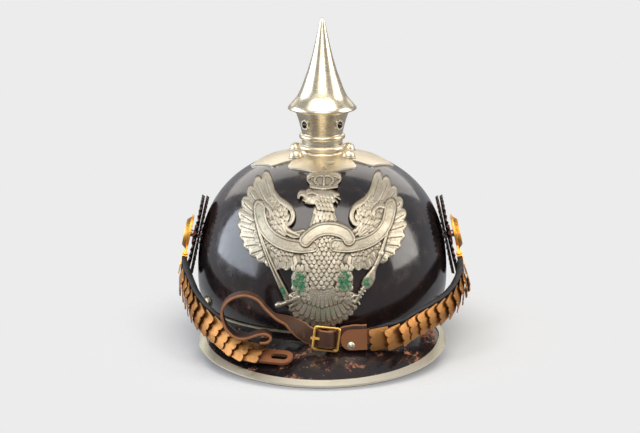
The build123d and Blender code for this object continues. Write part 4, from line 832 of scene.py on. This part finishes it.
strike(pillow(sceptre, 2.0, 1.7, 3.0))
strike(bead(31.0, 63.2, 2.3, 3.2, 0.9))
staff = [(36.8, 74.0), (39.5, 79.5), (42.0, 86.0), (44.6, 93.0)]
strike(ribbon(staff, lambda t: 1.5 - 0.4 * t, 2.5, 1.1))
strike(bead(40.2, 81.0, 2.2, 2.5, 1.3))
print("relief struck, highest", round(float(relief.max()), 2), "mm")

# %% [markdown]
# ### From heights to a mesh
# The skull under the plate is found by shooting rays from the front. The surface is evened out.
# For each place of the front view, the point of the skull is sought whose outward direction
# leads there, so that the relief keeps its outline from the front. Two more numbers go on each
# point: how deep it lies beside its neighbours, for dark tarnish and painted shade in the
# recesses, and where green has settled.


# %% Lay the relief on the skull
def blur(field, times):
    for _ in range(times):
        padded = np.pad(field, 1, mode="edge")
        rows_beside = padded[:-2, 1:-1] + padded[2:, 1:-1]
        field = (rows_beside + padded[1:-1, :-2] + padded[1:-1, 2:] + 2 * field) / 6
    return field


skull_mesh = nodes["skull"].data
skull_tree = BVHTree.FromPolygons(
    [v.co for v in skull_mesh.vertices], [p.vertices for p in skull_mesh.polygons]
)
# Every eighth place gets a ray, which starts 300 mm in front of the axis
COARSE, RAY_START = 8, -300 * MM
# A place that stands out farther than this from its neighbours fell in a hole, in mm
ASTRAY = 1.2
# How far the plate's foot stands off the leather, in mm
OFF_LEATHER = 0.15
coarse_x, coarse_z = across[::COARSE], up[::COARSE]
ground = np.zeros((len(coarse_z), len(coarse_x)))
for row, z in enumerate(coarse_z):
    for column, x in enumerate(coarse_x):
        hit = skull_tree.ray_cast(Vector((x * MM, RAY_START, z * MM)), Vector((0, 1, 0)))[0]
        ground[row, column] = hit.y / MM if hit else np.nan
inner = ground[1:-1, 1:-1]
around = (ground[:-2, 1:-1] + ground[2:, 1:-1] + ground[1:-1, :-2] + ground[1:-1, 2:]) / 4
inner[np.abs(inner - around) > ASTRAY] = np.nan
for row in range(len(coarse_z)):
    line = ground[row]
    good = ~np.isnan(line)
    if good.any():
        line[~good] = np.interp(coarse_x[~good], coarse_x[good], line[good])
    else:
        ground[row] = ground[row - 1]
ground = blur(ground, 2)
surface = np.array([np.interp(across, coarse_x, line) for line in ground])
surface = np.array([np.interp(up, coarse_z, column) for column in surface.T]).T
surface = blur(surface, 30)
slope_z, slope_x = np.gradient(surface, STEP)
print("skull found under the plate, front at", round(float(surface.min()), 1), "mm")

# %% Make the eagle's mesh
shown = relief > 0.05
lifted = np.where(shown, relief, 0.0)
fine = np.where(shown, 0.65 * lifted + 0.35 * blur(lifted, 1), 0.0)
# How deep each place lies below its neighbours; the finish paints these recesses dark, partly as
# tarnish and partly as painted shade.
hollow = np.maximum((blur(lifted, 8) - fine) / 0.27, (blur(lifted, 40) - fine) / 0.9)
hollow = np.clip(hollow, 0, 1)
green = np.zeros_like(X)
# Green patches: middle, half width, half height, amount
patches = (
    (-15.5, 64, 5.5, 9, 1.0), (15.5, 65, 5.5, 8.5, 1.0), (-27.5, 56, 3.6, 6, 0.9),
    (31, 63, 4.2, 4.2, 0.8), (0, 44, 20, 11, 0.32), (-44, 103, 4, 4, 0.4), (-22, 66, 3, 10, 0.2),
)
for x, z, wide, tall, much in patches:
    inside = 1.25 - np.hypot((X - x) / wide, (Z - z) / tall)
    green = np.maximum(green, much * np.clip(inside, 0, 1))
near = shown.copy()
near[1:] |= shown[:-1]
near[:-1] |= shown[1:]
near[:, 1:] |= shown[:, :-1]
near[:, :-1] |= shown[:, 1:]
keep = near[:-1, :-1] & near[1:, :-1] & near[:-1, 1:] & near[1:, 1:]
keep &= shown[:-1, :-1] | shown[1:, :-1] | shown[:-1, 1:] | shown[1:, 1:]


def sample(field, x, z):
    """The value of a field between the places of the board."""
    column = np.clip((x - LEFT) / STEP, 0, field.shape[1] - 1.001)
    row = np.clip((z - LOW) / STEP, 0, field.shape[0] - 1.001)
    c, r = column.astype(int), row.astype(int)
    column, row = column - c, row - r
    upper = field[r + 1, c] * (1 - column) + field[r + 1, c + 1] * column
    return (field[r, c] * (1 - column) + field[r, c + 1] * column) * (1 - row) + upper * row


lift = fine + OFF_LEATHER
foot_x, foot_z = X.copy(), Z.copy()
for _ in range(5):
    lean_x, lean_z = sample(slope_x, foot_x, foot_z), sample(slope_z, foot_x, foot_z)
    size = np.sqrt(1 + lean_x**2 + lean_z**2)
    foot_x, foot_z = X - lean_x / size * lift, Z - lean_z / size * lift
place = np.stack([X, sample(surface, foot_x, foot_z) - lift / size, Z], -1)
number = np.arange(X.size).reshape(X.shape)
quads = np.stack([number[:-1, :-1], number[:-1, 1:], number[1:, 1:], number[1:, :-1]], -1)[keep]
used, quads = np.unique(quads, return_inverse=True)
quads = quads.reshape(-1, 4)
eagle_mesh = bpy.data.meshes.new("eagle_plate")
eagle_mesh.from_pydata((place.reshape(-1, 3)[used] * MM).tolist(), [], quads.tolist())
for name, values in (("hollow", hollow), ("verdigris", green)):
    layer = eagle_mesh.attributes.new(name, "FLOAT", "POINT")
    layer.data.foreach_set("value", values.reshape(-1)[used].astype(np.float32))
eagle = set_down(eagle_mesh)
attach(eagle, "helmet")
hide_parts("front_plate")
print("eagle:", len(used), "points and", len(quads), "faces")


# %% [markdown]
# ### Old nickel silver with green in the hollows
# The plate is duller than the spike. Its ridges are rubbed bright, its hollows are painted dark
# brown, partly as tarnish and partly as shade, and green copper salts sit where polish was never
# wiped away.

# %% The eagle's finish
def eagle_nickel():
    nickel = Finish("eagle_nickel")
    cloud = nickel.noise(120, 7, 0.7)
    grit = nickel.noise(900, 4, 0.7)
    bright, dim = (0.56, 0.505, 0.395), (0.39, 0.335, 0.245)
    shade = nickel.colour(nickel.ramp(cloud, 0.35, 0.7), bright, dim)
    # Recesses are painted dark brown: partly tarnish, partly painted shade.
    tarnish_and_shade = nickel.times(nickel.painted("hollow"), nickel.ramp(grit, 0.2, 0.8, 0.65, 1.0))
    tarnish_and_shade = nickel.ramp(tarnish_and_shade, 0.05, 0.5, 0, 0.95)
    shade = nickel.colour(tarnish_and_shade, shade, (0.075, 0.055, 0.034))
    flakes = nickel.ramp(nickel.noise(330, 6, 0.75), 0.36, 0.56)
    patch = nickel.ramp(nickel.times(nickel.painted("verdigris"), flakes), 0.18, 0.5)
    deep_green, pale_green = (0.004, 0.085, 0.034), (0.08, 0.27, 0.13)
    crust = nickel.colour(nickel.ramp(grit, 0.35, 0.65), deep_green, pale_green)
    nickel.base(nickel.colour(patch, shade, crust))
    dull = nickel.times(patch, tarnish_and_shade, "ADD")
    nickel.metal(nickel.ramp(dull, 0.1, 1.0, 1.0, 0.1))
    sheen = nickel.ramp(cloud, 0.3, 0.7, 0.33, 0.48)
    nickel.rough(nickel.times(sheen, nickel.times(dull, 0.4), "ADD"))
    nickel.bump(grit, 0.00012)
    nickel.bump(nickel.noise(420, 5, 0.7), 0.0003)
    return nickel.material


eagle.data.materials.append(eagle_nickel())

# %% [markdown]
# ## Cockades
# Each ear carries two painted discs of fluted sheet. Flutes are a wave that grows from the hub to
# the rim, so a disc is a polar grid with a wave in it, closed with a second skin behind. They are
# new meshes in the places of the plain CAD discs.


# %% Fluted discs
def disc_frame(name):
    """Middle, axis and size of a CAD disc, and its points from the middle."""
    points = np.array([tuple(v.co) for v in nodes[name].data.vertices])
    middle = (points.max(0) + points.min(0)) / 2
    spread = points - points.mean(0)
    axis = np.linalg.svd(spread, full_matrices=False)[2][2]
    axis *= np.sign(axis[0] * middle[0])
    flat = spread - np.outer(spread @ axis, axis)
    return points.mean(0), axis, np.linalg.norm(flat, axis=1).max(), spread


FLUTES = 36


def fluted_disc(name, slack):
    centre, axis, radius, cad = disc_frame(name)
    side = np.cross(axis, (0, 0, 1))
    side /= np.linalg.norm(side)
    rise = np.cross(side, axis)
    rings, turns = 22, FLUTES * 8
    height = cad @ axis
    out = np.linalg.norm(cad - np.outer(height, axis), axis=1)
    hub = height[out < radius * 0.33].mean()
    rim = height[out > radius * 0.9].mean()
    bore = 0.13 * radius
    verts = []
    for skin in (1, -1):
        for ring in range(rings + 1):
            share = ring / rings
            r = bore + (radius - bore) * share
            grow = max(0.0, (share - 0.2) / 0.8)
            for turn in range(turns):
                angle = 2 * math.pi * turn / turns
                wave = math.cos(FLUTES * angle)
                reach = r - (0.9 * MM if ring == rings else 0) * (0.5 - 0.5 * wave)
                level = hub + (rim - hub) * grow + slack * grow * wave + skin * 0.28 * MM
                level += 0.25 * MM * math.exp(-(((share - 0.62) / 0.03) ** 2)) * skin
                outward = side * reach * math.cos(angle) + rise * reach * math.sin(angle)
                verts.append(centre + outward + axis * level)
    each = (rings + 1) * turns
    back = ring_faces(rings + 1, turns, each)
    faces = ring_faces(rings + 1, turns) + [(b, a, d, c) for a, b, c, d in back]
    for ring in (0, rings):
        for turn in range(turns):
            a, b = ring * turns + turn, ring * turns + (turn + 1) % turns
            faces.append((a, a + each, b + each, b) if ring == 0 else (b, b + each, a + each, a))
    mesh = bpy.data.meshes.new(name.replace("cockade", "fluted_cockade"))
    mesh.from_pydata([tuple(v) for v in verts], [], faces)
    band = mesh.attributes.new("band", "FLOAT", "POINT")
    shares = [((index % each) // turns) / rings for index in range(2 * each)]
    band.data.foreach_set("value", shares)
    disc = set_down(mesh)
    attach(disc, "helmet")
    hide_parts(name)
    return disc


def cockade_paint():
    paint = Finish("cockade_paint")
    rub = paint.noise(260, 7, 0.75)
    cloud = paint.noise(70, 4)
    ring = paint.painted("band")
    pale = paint.times(paint.ramp(ring, 0.60, 0.61), paint.ramp(ring, 0.80, 0.79))
    shade = paint.colour(pale, (0.018, 0.014, 0.014), (0.12, 0.095, 0.08))
    shade = paint.colour(paint.ramp(rub, 0.50, 0.62), shade, (0.17, 0.055, 0.03))
    shade = paint.colour(paint.ramp(cloud, 0.55, 0.7, 0, 0.6), shade, (0.05, 0.035, 0.03))
    paint.base(shade)
    paint.rough(paint.ramp(rub, 0.4, 0.65, 0.32, 0.65))
    paint.bump(rub, 0.00012)
    return paint.material


paint = cockade_paint()
for where in ("left", "right"):
    for layer in ("inner", "outer"):
        disc = fluted_disc("cockade_" + layer + "_" + where, 0.85 * MM)
        disc.data.materials.append(paint)
print("four cockades fluted")

# %% [markdown]
# ## Chin strap
# The narrow strap stands on its edge, curls back over itself, makes a loop and then turns flat to
# run through the buckle. It is one strip of leather, so one section follows a route. Each stop on
# the route gives a place and the direction of the strap's width, and a smooth line joins them.

# %% Sweep the strap along its route
# Across and height of the loop, which stands upright in one plane, in mm
loop_stops = [
    (-42.3, 25.8), (-37.6, 26.1), (-35.0, 28.2), (-35.9, 30.9), (-39.6, 32.1), (-44.8, 31.1),
    (-50.0, 29.3), (-55.2, 28.7), (-60.1, 30.4), (-64.5, 35.0), (-67.4, 42.5), (-67.3, 49.0),
    (-63.5, 55.0), (-57.3, 58.2), (-50.5, 58.7), (-43.5, 55.7), (-38.5, 49.8),
]
LOOP_PLANE = -119.0
strap_stops = [((x, LOOP_PLANE, z), (0, 1, 0)) for x, z in loop_stops]
# From the loop through the buckle: place, direction of the width
strap_stops += [
    ((-31.5, -119.0, 43.0), (-0.07, 1, 0.05)), ((-23.3, -117.4, 39.1), (0.13, 0.94, 0.33)),
    ((-15.6, -118.1, 34.2), (0.51, 0.47, 0.72)), ((-10.0, -118.7, 30.5), (0.49, 0.06, 0.87)),
    ((-6.1, -119.3, 28.9), (0.29, 0.05, 0.96)), ((-3.6, -120.0, 28.6), (0.07, 0.04, 1.0)),
    ((0.6, -124.5, 28.7), (0.07, 0.05, 1.0)), ((3.2, -124.7, 28.4), (0.12, 0.12, 0.98)),
    ((5.6, -123.8, 28.0), (0.05, 0.18, 0.98)), ((7.9, -118.5, 27.0), (0.01, 0.13, 0.99)),
    ((10.6, -117.1, 27.0), (-0.31, 0.01, 0.95)), ((14.7, -116.3, 29.2), (-0.31, 0.06, 0.95)),
    ((20.5, -115.4, 30.2), (-0.08, 0.09, 0.99)), ((30.1, -114.0, 30.2), (-0.01, 0.1, 0.99)),
]
STRAP_WIDE, STRAP_THICK = 5.9, 1.1


def strap_outline(count=20):
    """A flat oval: straight faces and rounded edges."""
    outline = []
    for step in range(count):
        angle = 2 * math.pi * step / count
        c, s = math.cos(angle), math.sin(angle)
        wide = STRAP_WIDE * math.copysign(abs(c) ** 0.35, c)
        thick = STRAP_THICK * math.copysign(abs(s) ** 0.45, s)
        outline.append((wide, thick))
    return outline


def strap_mesh():
    places = smooth_line([np.array(stop[0]) for stop in strap_stops], 7)
    widths = smooth_line([np.array(stop[1]) for stop in strap_stops], 7)
    outline = strap_outline()
    verts, rims = [], []
    for index, (place, width) in enumerate(zip(places, widths)):
        before, after = places[max(index - 1, 0)], places[min(index + 1, len(places) - 1)]
        along = (after - before) / np.linalg.norm(after - before)
        width = width - along * (along @ width)
        width /= np.linalg.norm(width)
        face = np.cross(along, width)
        wavy = 1 + 0.02 * math.sin(index * 0.9)
        for wide, thick in outline:
            rims.append(min(1.0, max(0.0, (abs(wide) / STRAP_WIDE - 0.86) / 0.1)))
            verts.append(tuple((place + width * wide * wavy + face * thick) * MM))
    size = len(outline)
    faces = ring_faces(len(places), size, turned=True)
    faces.append(tuple(range(size)))
    faces.append(tuple(reversed(range(len(verts) - size, len(verts)))))
    mesh = bpy.data.meshes.new("looped_chin_strap")
    mesh.from_pydata(verts, [], faces)
    layer = mesh.attributes.new("rim", "FLOAT", "POINT")
    layer.data.foreach_set("value", rims)
    return mesh


strap = set_down(strap_mesh(), brown_strap)
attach(strap, "chin_chain")
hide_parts("chin_strap")
print("strap swept through", len(strap_stops), "stops")

# %% [markdown]
# ## Leather under the scales
# The scales of each side are riveted to a thick black strip. Its padded upper edge stands beyond
# the scales and is what shows from above. One rounded section follows the chain. The route is
# the CAD model's: a smooth line from the hinge through four places, with a face that lies
# against the ear at first and leans back towards the front.

# %% Sweep the black strips
# The chain's sizes are the CAD model's, in mm and degrees
CHAIN_SPREAD, CHAIN_REACH, CHAIN_DROP = 102.0, 124.0, 44.0
EAR_TILT, TONGUE_LEAD, TONGUE_GAP = math.radians(12.5), math.radians(44.0), 2.9
# Places along each chain, as shares of its spread, its reach and its drop below the hinge
left_shares = [
    (0.940, -0.345, 0.330), (0.820, -0.640, 0.600), (0.655, -0.820, 0.810),
    (0.400, -0.975, 0.975),
]
right_shares = [
    (0.967, -0.345, 0.270), (0.835, -0.590, 0.500), (0.610, -0.785, 0.655),
    (0.320, -0.900, 0.755),
]
# Side, places, direction at the front end, how long the line keeps to it, and the lean in
# degrees at a share of the length
chains = {
    "left": (-1, left_shares, (1, -0.35, 0), 1.4, lambda share: 64.0 * share**2),
    "right": (1, right_shares, (-1, -0.14, 0), 1.9, lambda share: 6.0 * share),
}
START_PACE = 0.9
# Section: how far up across the strip, how far out of its face, in mm, from below to above
PAD_OUT = [(-7.0, 0.2), (-6.6, 1.05), (-3, 1.15), (3, 1.15), (7.0, 1.15), (8.1, 1.7), (9.1, 1.3)]
PAD_IN = [(9.6, 0.0), (9.3, -1.9), (8.0, -3.0), (4, -3.0), (-3, -2.6), (-6.2, -2.0), (-6.9, -1.0)]


def unit(vector):
    return vector / np.linalg.norm(vector)


def even_line(points, first_slope, last_slope, count):
    """Places at equal steps on a line that bends evenly and starts and ends with its slopes."""
    points = np.array(points)
    runs = np.linalg.norm(np.diff(points, axis=0), axis=1)
    system, wanted = np.eye(len(points)), np.zeros(points.shape)
    wanted[0], wanted[-1] = first_slope, last_slope
    for index in range(1, len(points) - 1):
        before, after = runs[index - 1], runs[index]
        system[index, index - 1 : index + 2] = after, 2 * (before + after), before
        rise_before = (points[index] - points[index - 1]) * after / before
        rise_after = (points[index + 1] - points[index]) * before / after
        wanted[index] = 3 * (rise_before + rise_after)
    slopes = np.linalg.solve(system, wanted)
    t = np.linspace(0, 1, 200)[:, None]
    line = np.vstack([
        (2 * t**3 - 3 * t**2 + 1) * a + (t**3 - 2 * t**2 + t) * run * slope_a
        + (3 * t**2 - 2 * t**3) * b + (t**3 - t**2) * run * slope_b
        for a, b, slope_a, slope_b, run in zip(points, points[1:], slopes, slopes[1:], runs)
    ])
    length = np.append(0, np.cumsum(np.linalg.norm(np.diff(line, axis=0), axis=1)))
    stops = np.linspace(0, length[-1], count)
    return np.array([np.interp(stops, length, values) for values in line.T]).T


def chain_route(where, count=101):
    """Places along one chain, each with the way up across it and the way out of its face."""
    side, shares, front, front_pace, end_lean = chains[where]
    pins = np.array([tuple(v.co) for v in nodes["hinge_pins"].data.vertices]) / MM
    pin = pins[pins[:, 0] * side > 0]
    hinge = (pin.max(0) + pin.min(0)) / 2
    slant = math.cos(TONGUE_LEAD)
    lead = np.array((side * slant * math.sin(EAR_TILT), -math.sin(TONGUE_LEAD),
                     -slant * math.cos(EAR_TILT)))
    ear = np.array((side * math.cos(EAR_TILT), 0, math.sin(EAR_TILT)))
    points = [hinge + lead * TONGUE_GAP]
    for x, y, z in shares:
        points.append((side * x * CHAIN_SPREAD, y * CHAIN_REACH, hinge[2] - z * CHAIN_DROP))
    line = even_line(points, lead * START_PACE, unit(np.array(front)) * front_pace, count)
    ways = np.gradient(line, axis=0)
    ways[0], ways[-1] = lead, front
    route = []
    for place, along, share in zip(line, ways, np.linspace(0, 1, count)):
        along = unit(along)
        across = unit(np.array((0, 0, 1)) - along * along[2])
        outward = -side * np.cross(along, across)
        start_lean = math.atan2(ear @ across, ear @ outward)
        lean = start_lean * (1 - share) ** 4 + math.radians(end_lean(share))
        over = across * math.cos(lean) - outward * math.sin(lean)
        route.append((place, over, outward * math.cos(lean) + across * math.sin(lean)))
    return route


def padded_strip(where):
    route = chain_route(where)
    section = smooth_line([np.array(point) for point in [*PAD_OUT, *PAD_IN, PAD_OUT[0]]], 3)[:-1]
    verts = []
    count = len(route)
    for index, (place, over, out) in enumerate(route):
        share = index / (count - 1)
        fade = min(1.0, share / 0.08, (1 - share) / 0.10)
        for height, depth in section:
            height = min(height, 7.0 + (height - 7.0) * fade)
            depth = max(depth, -1.3 + (depth + 1.3) * fade)
            height *= 1 + 0.012 * math.sin(index * 0.7)
            verts.append(tuple((place + over * height + out * depth) * MM))
    size = len(section)
    faces = ring_faces(count, size, turned=where == "right")
    for ring in (0, count - 1):
        faces.append(tuple(range(ring * size, ring * size + size)))
    mesh = bpy.data.meshes.new("padded_strip_" + where)
    mesh.from_pydata(verts, [], faces)
    mesh.validate()
    strip = set_down(mesh, black_strip)
    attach(strip, "chin_chain")
    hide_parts("scale_backing_" + where)
    return len(verts)


print("points in the two strips:", padded_strip("left") + padded_strip("right"))

# %% [markdown]
# ## The floor, the light and the camera
# A pale floor carries the helmet's shadow and fades out round it. Large soft boxes stand left and
# right, above, in front and behind, as in a small studio, and a pale surround gives the metal
# something to reflect.


# %% Floor
def show_blend(tree, share, first, second, output):
    """Mixes two shaders by a share and shows the mix."""
    blend = tree.nodes.new("ShaderNodeMixShader")
    tree.links.new(share, blend.inputs["Fac"])
    tree.links.new(first.outputs[0], blend.inputs[1])
    tree.links.new(second.outputs[0], blend.inputs[2])
    tree.links.new(blend.outputs["Shader"], tree.nodes[output].inputs["Surface"])


floor_mesh = bpy.data.meshes.new("floor")
floor_mesh.from_pydata([(-4, -3, 0), (4, -3, 0), (4, 5, 0), (-4, 5, 0)], [], [(0, 1, 2, 3)])
floor = bpy.data.objects.new("floor", floor_mesh)
floor.location.z = cad_box[0][2] - 0.5 * MM
bpy.context.scene.collection.objects.link(floor)
floor_finish = Finish("floor_paper")
floor_finish.fixed(Base_Color=(0.62, 0.62, 0.62, 1), Roughness=0.95, Specular_IOR_Level=0.1)
far = floor_finish.node("VectorMath", Vector=floor_finish.place)
far.operation = "LENGTH"
# The paper is whole within the first distance from the axis and gone beyond the second
WHOLE, GONE = 0.10, 0.19
fade = floor_finish.node("MapRange", Value=far.outputs["Value"], From_Min=WHOLE, From_Max=GONE)
fade.interpolation_type = "SMOOTHSTEP"
paper, clear = floor_finish.shader, floor_finish.node("BsdfTransparent")
show_blend(floor_finish.tree, fade.outputs["Result"], paper, clear, "Material Output")
floor.data.materials.append(floor_finish.material)

# %% Surround and lamps
world = bpy.data.worlds.new("studio")
bpy.context.scene.world = world
world.use_nodes = True
sky = world.node_tree
background = sky.nodes["Background"]
background.inputs["Color"].default_value = (0.92, 0.94, 1.0, 1)
background.inputs["Strength"].default_value = 0.36
seen = sky.nodes.new("ShaderNodeBackground")
seen.inputs["Color"].default_value = (0.838, 0.838, 0.838, 1)
seen.inputs["Strength"].default_value = 1.0
rays = sky.nodes.new("ShaderNodeLightPath")
show_blend(sky, rays.outputs["Is Camera Ray"], background, seen, "World Output")


def turned_to(place, target):
    """The rotation that points a lamp or camera from its place to a target."""
    return (Vector(target) - Vector(place)).to_track_quat("-Z", "Y").to_euler()


def soft_box(name, place, target, wide, tall, power, colour):
    data = bpy.data.lights.new(name, "AREA")
    data.shape = "RECTANGLE"
    data.size = wide
    data.size_y = tall
    data.energy = power
    data.color = colour
    lamp = bpy.data.objects.new(name, data)
    lamp.location = place
    lamp.rotation_euler = turned_to(place, target)
    bpy.context.scene.collection.objects.link(lamp)


soft_box("box_left", (-1.3, 0.08, 0.47), (0, 0, 0.08), 1.35, 0.9, 15, (0.82, 0.89, 1.0))
soft_box("box_right", (1.25, 0.0, 0.58), (0, 0, 0.08), 0.8, 1.0, 10, (1.0, 0.96, 0.9))
soft_box("box_top", (0.0, -0.45, 1.45), (0, 0, 0.1), 1.7, 0.9, 17, (1.0, 0.97, 0.93))
soft_box("box_front", (0.0, -1.9, 1.15), (0, 0, 0.1), 1.5, 0.8, 15, (1.0, 0.97, 0.93))
soft_box("box_back", (0.0, 1.5, 0.95), (0, 0, 0.12), 2.4, 1.0, 9, (1.0, 0.95, 0.88))
print("five soft boxes")

# %% Camera
CAMERA_PLACE, CAMERA_AIM = (0, -1.5, 0.426), (0, 0, 0.08539)
camera_data = bpy.data.cameras.new("camera")
camera_data.sensor_width = 36
camera_data.lens = 119.1
camera_data.shift_x = -0.0035
camera = bpy.data.objects.new("camera", camera_data)
camera.location = CAMERA_PLACE
camera.rotation_euler = turned_to(CAMERA_PLACE, CAMERA_AIM)
bpy.context.scene.collection.objects.link(camera)
bpy.context.scene.camera = camera
bpy.context.scene.view_settings.view_transform = "Standard"
print("camera set at the height of the photograph's")
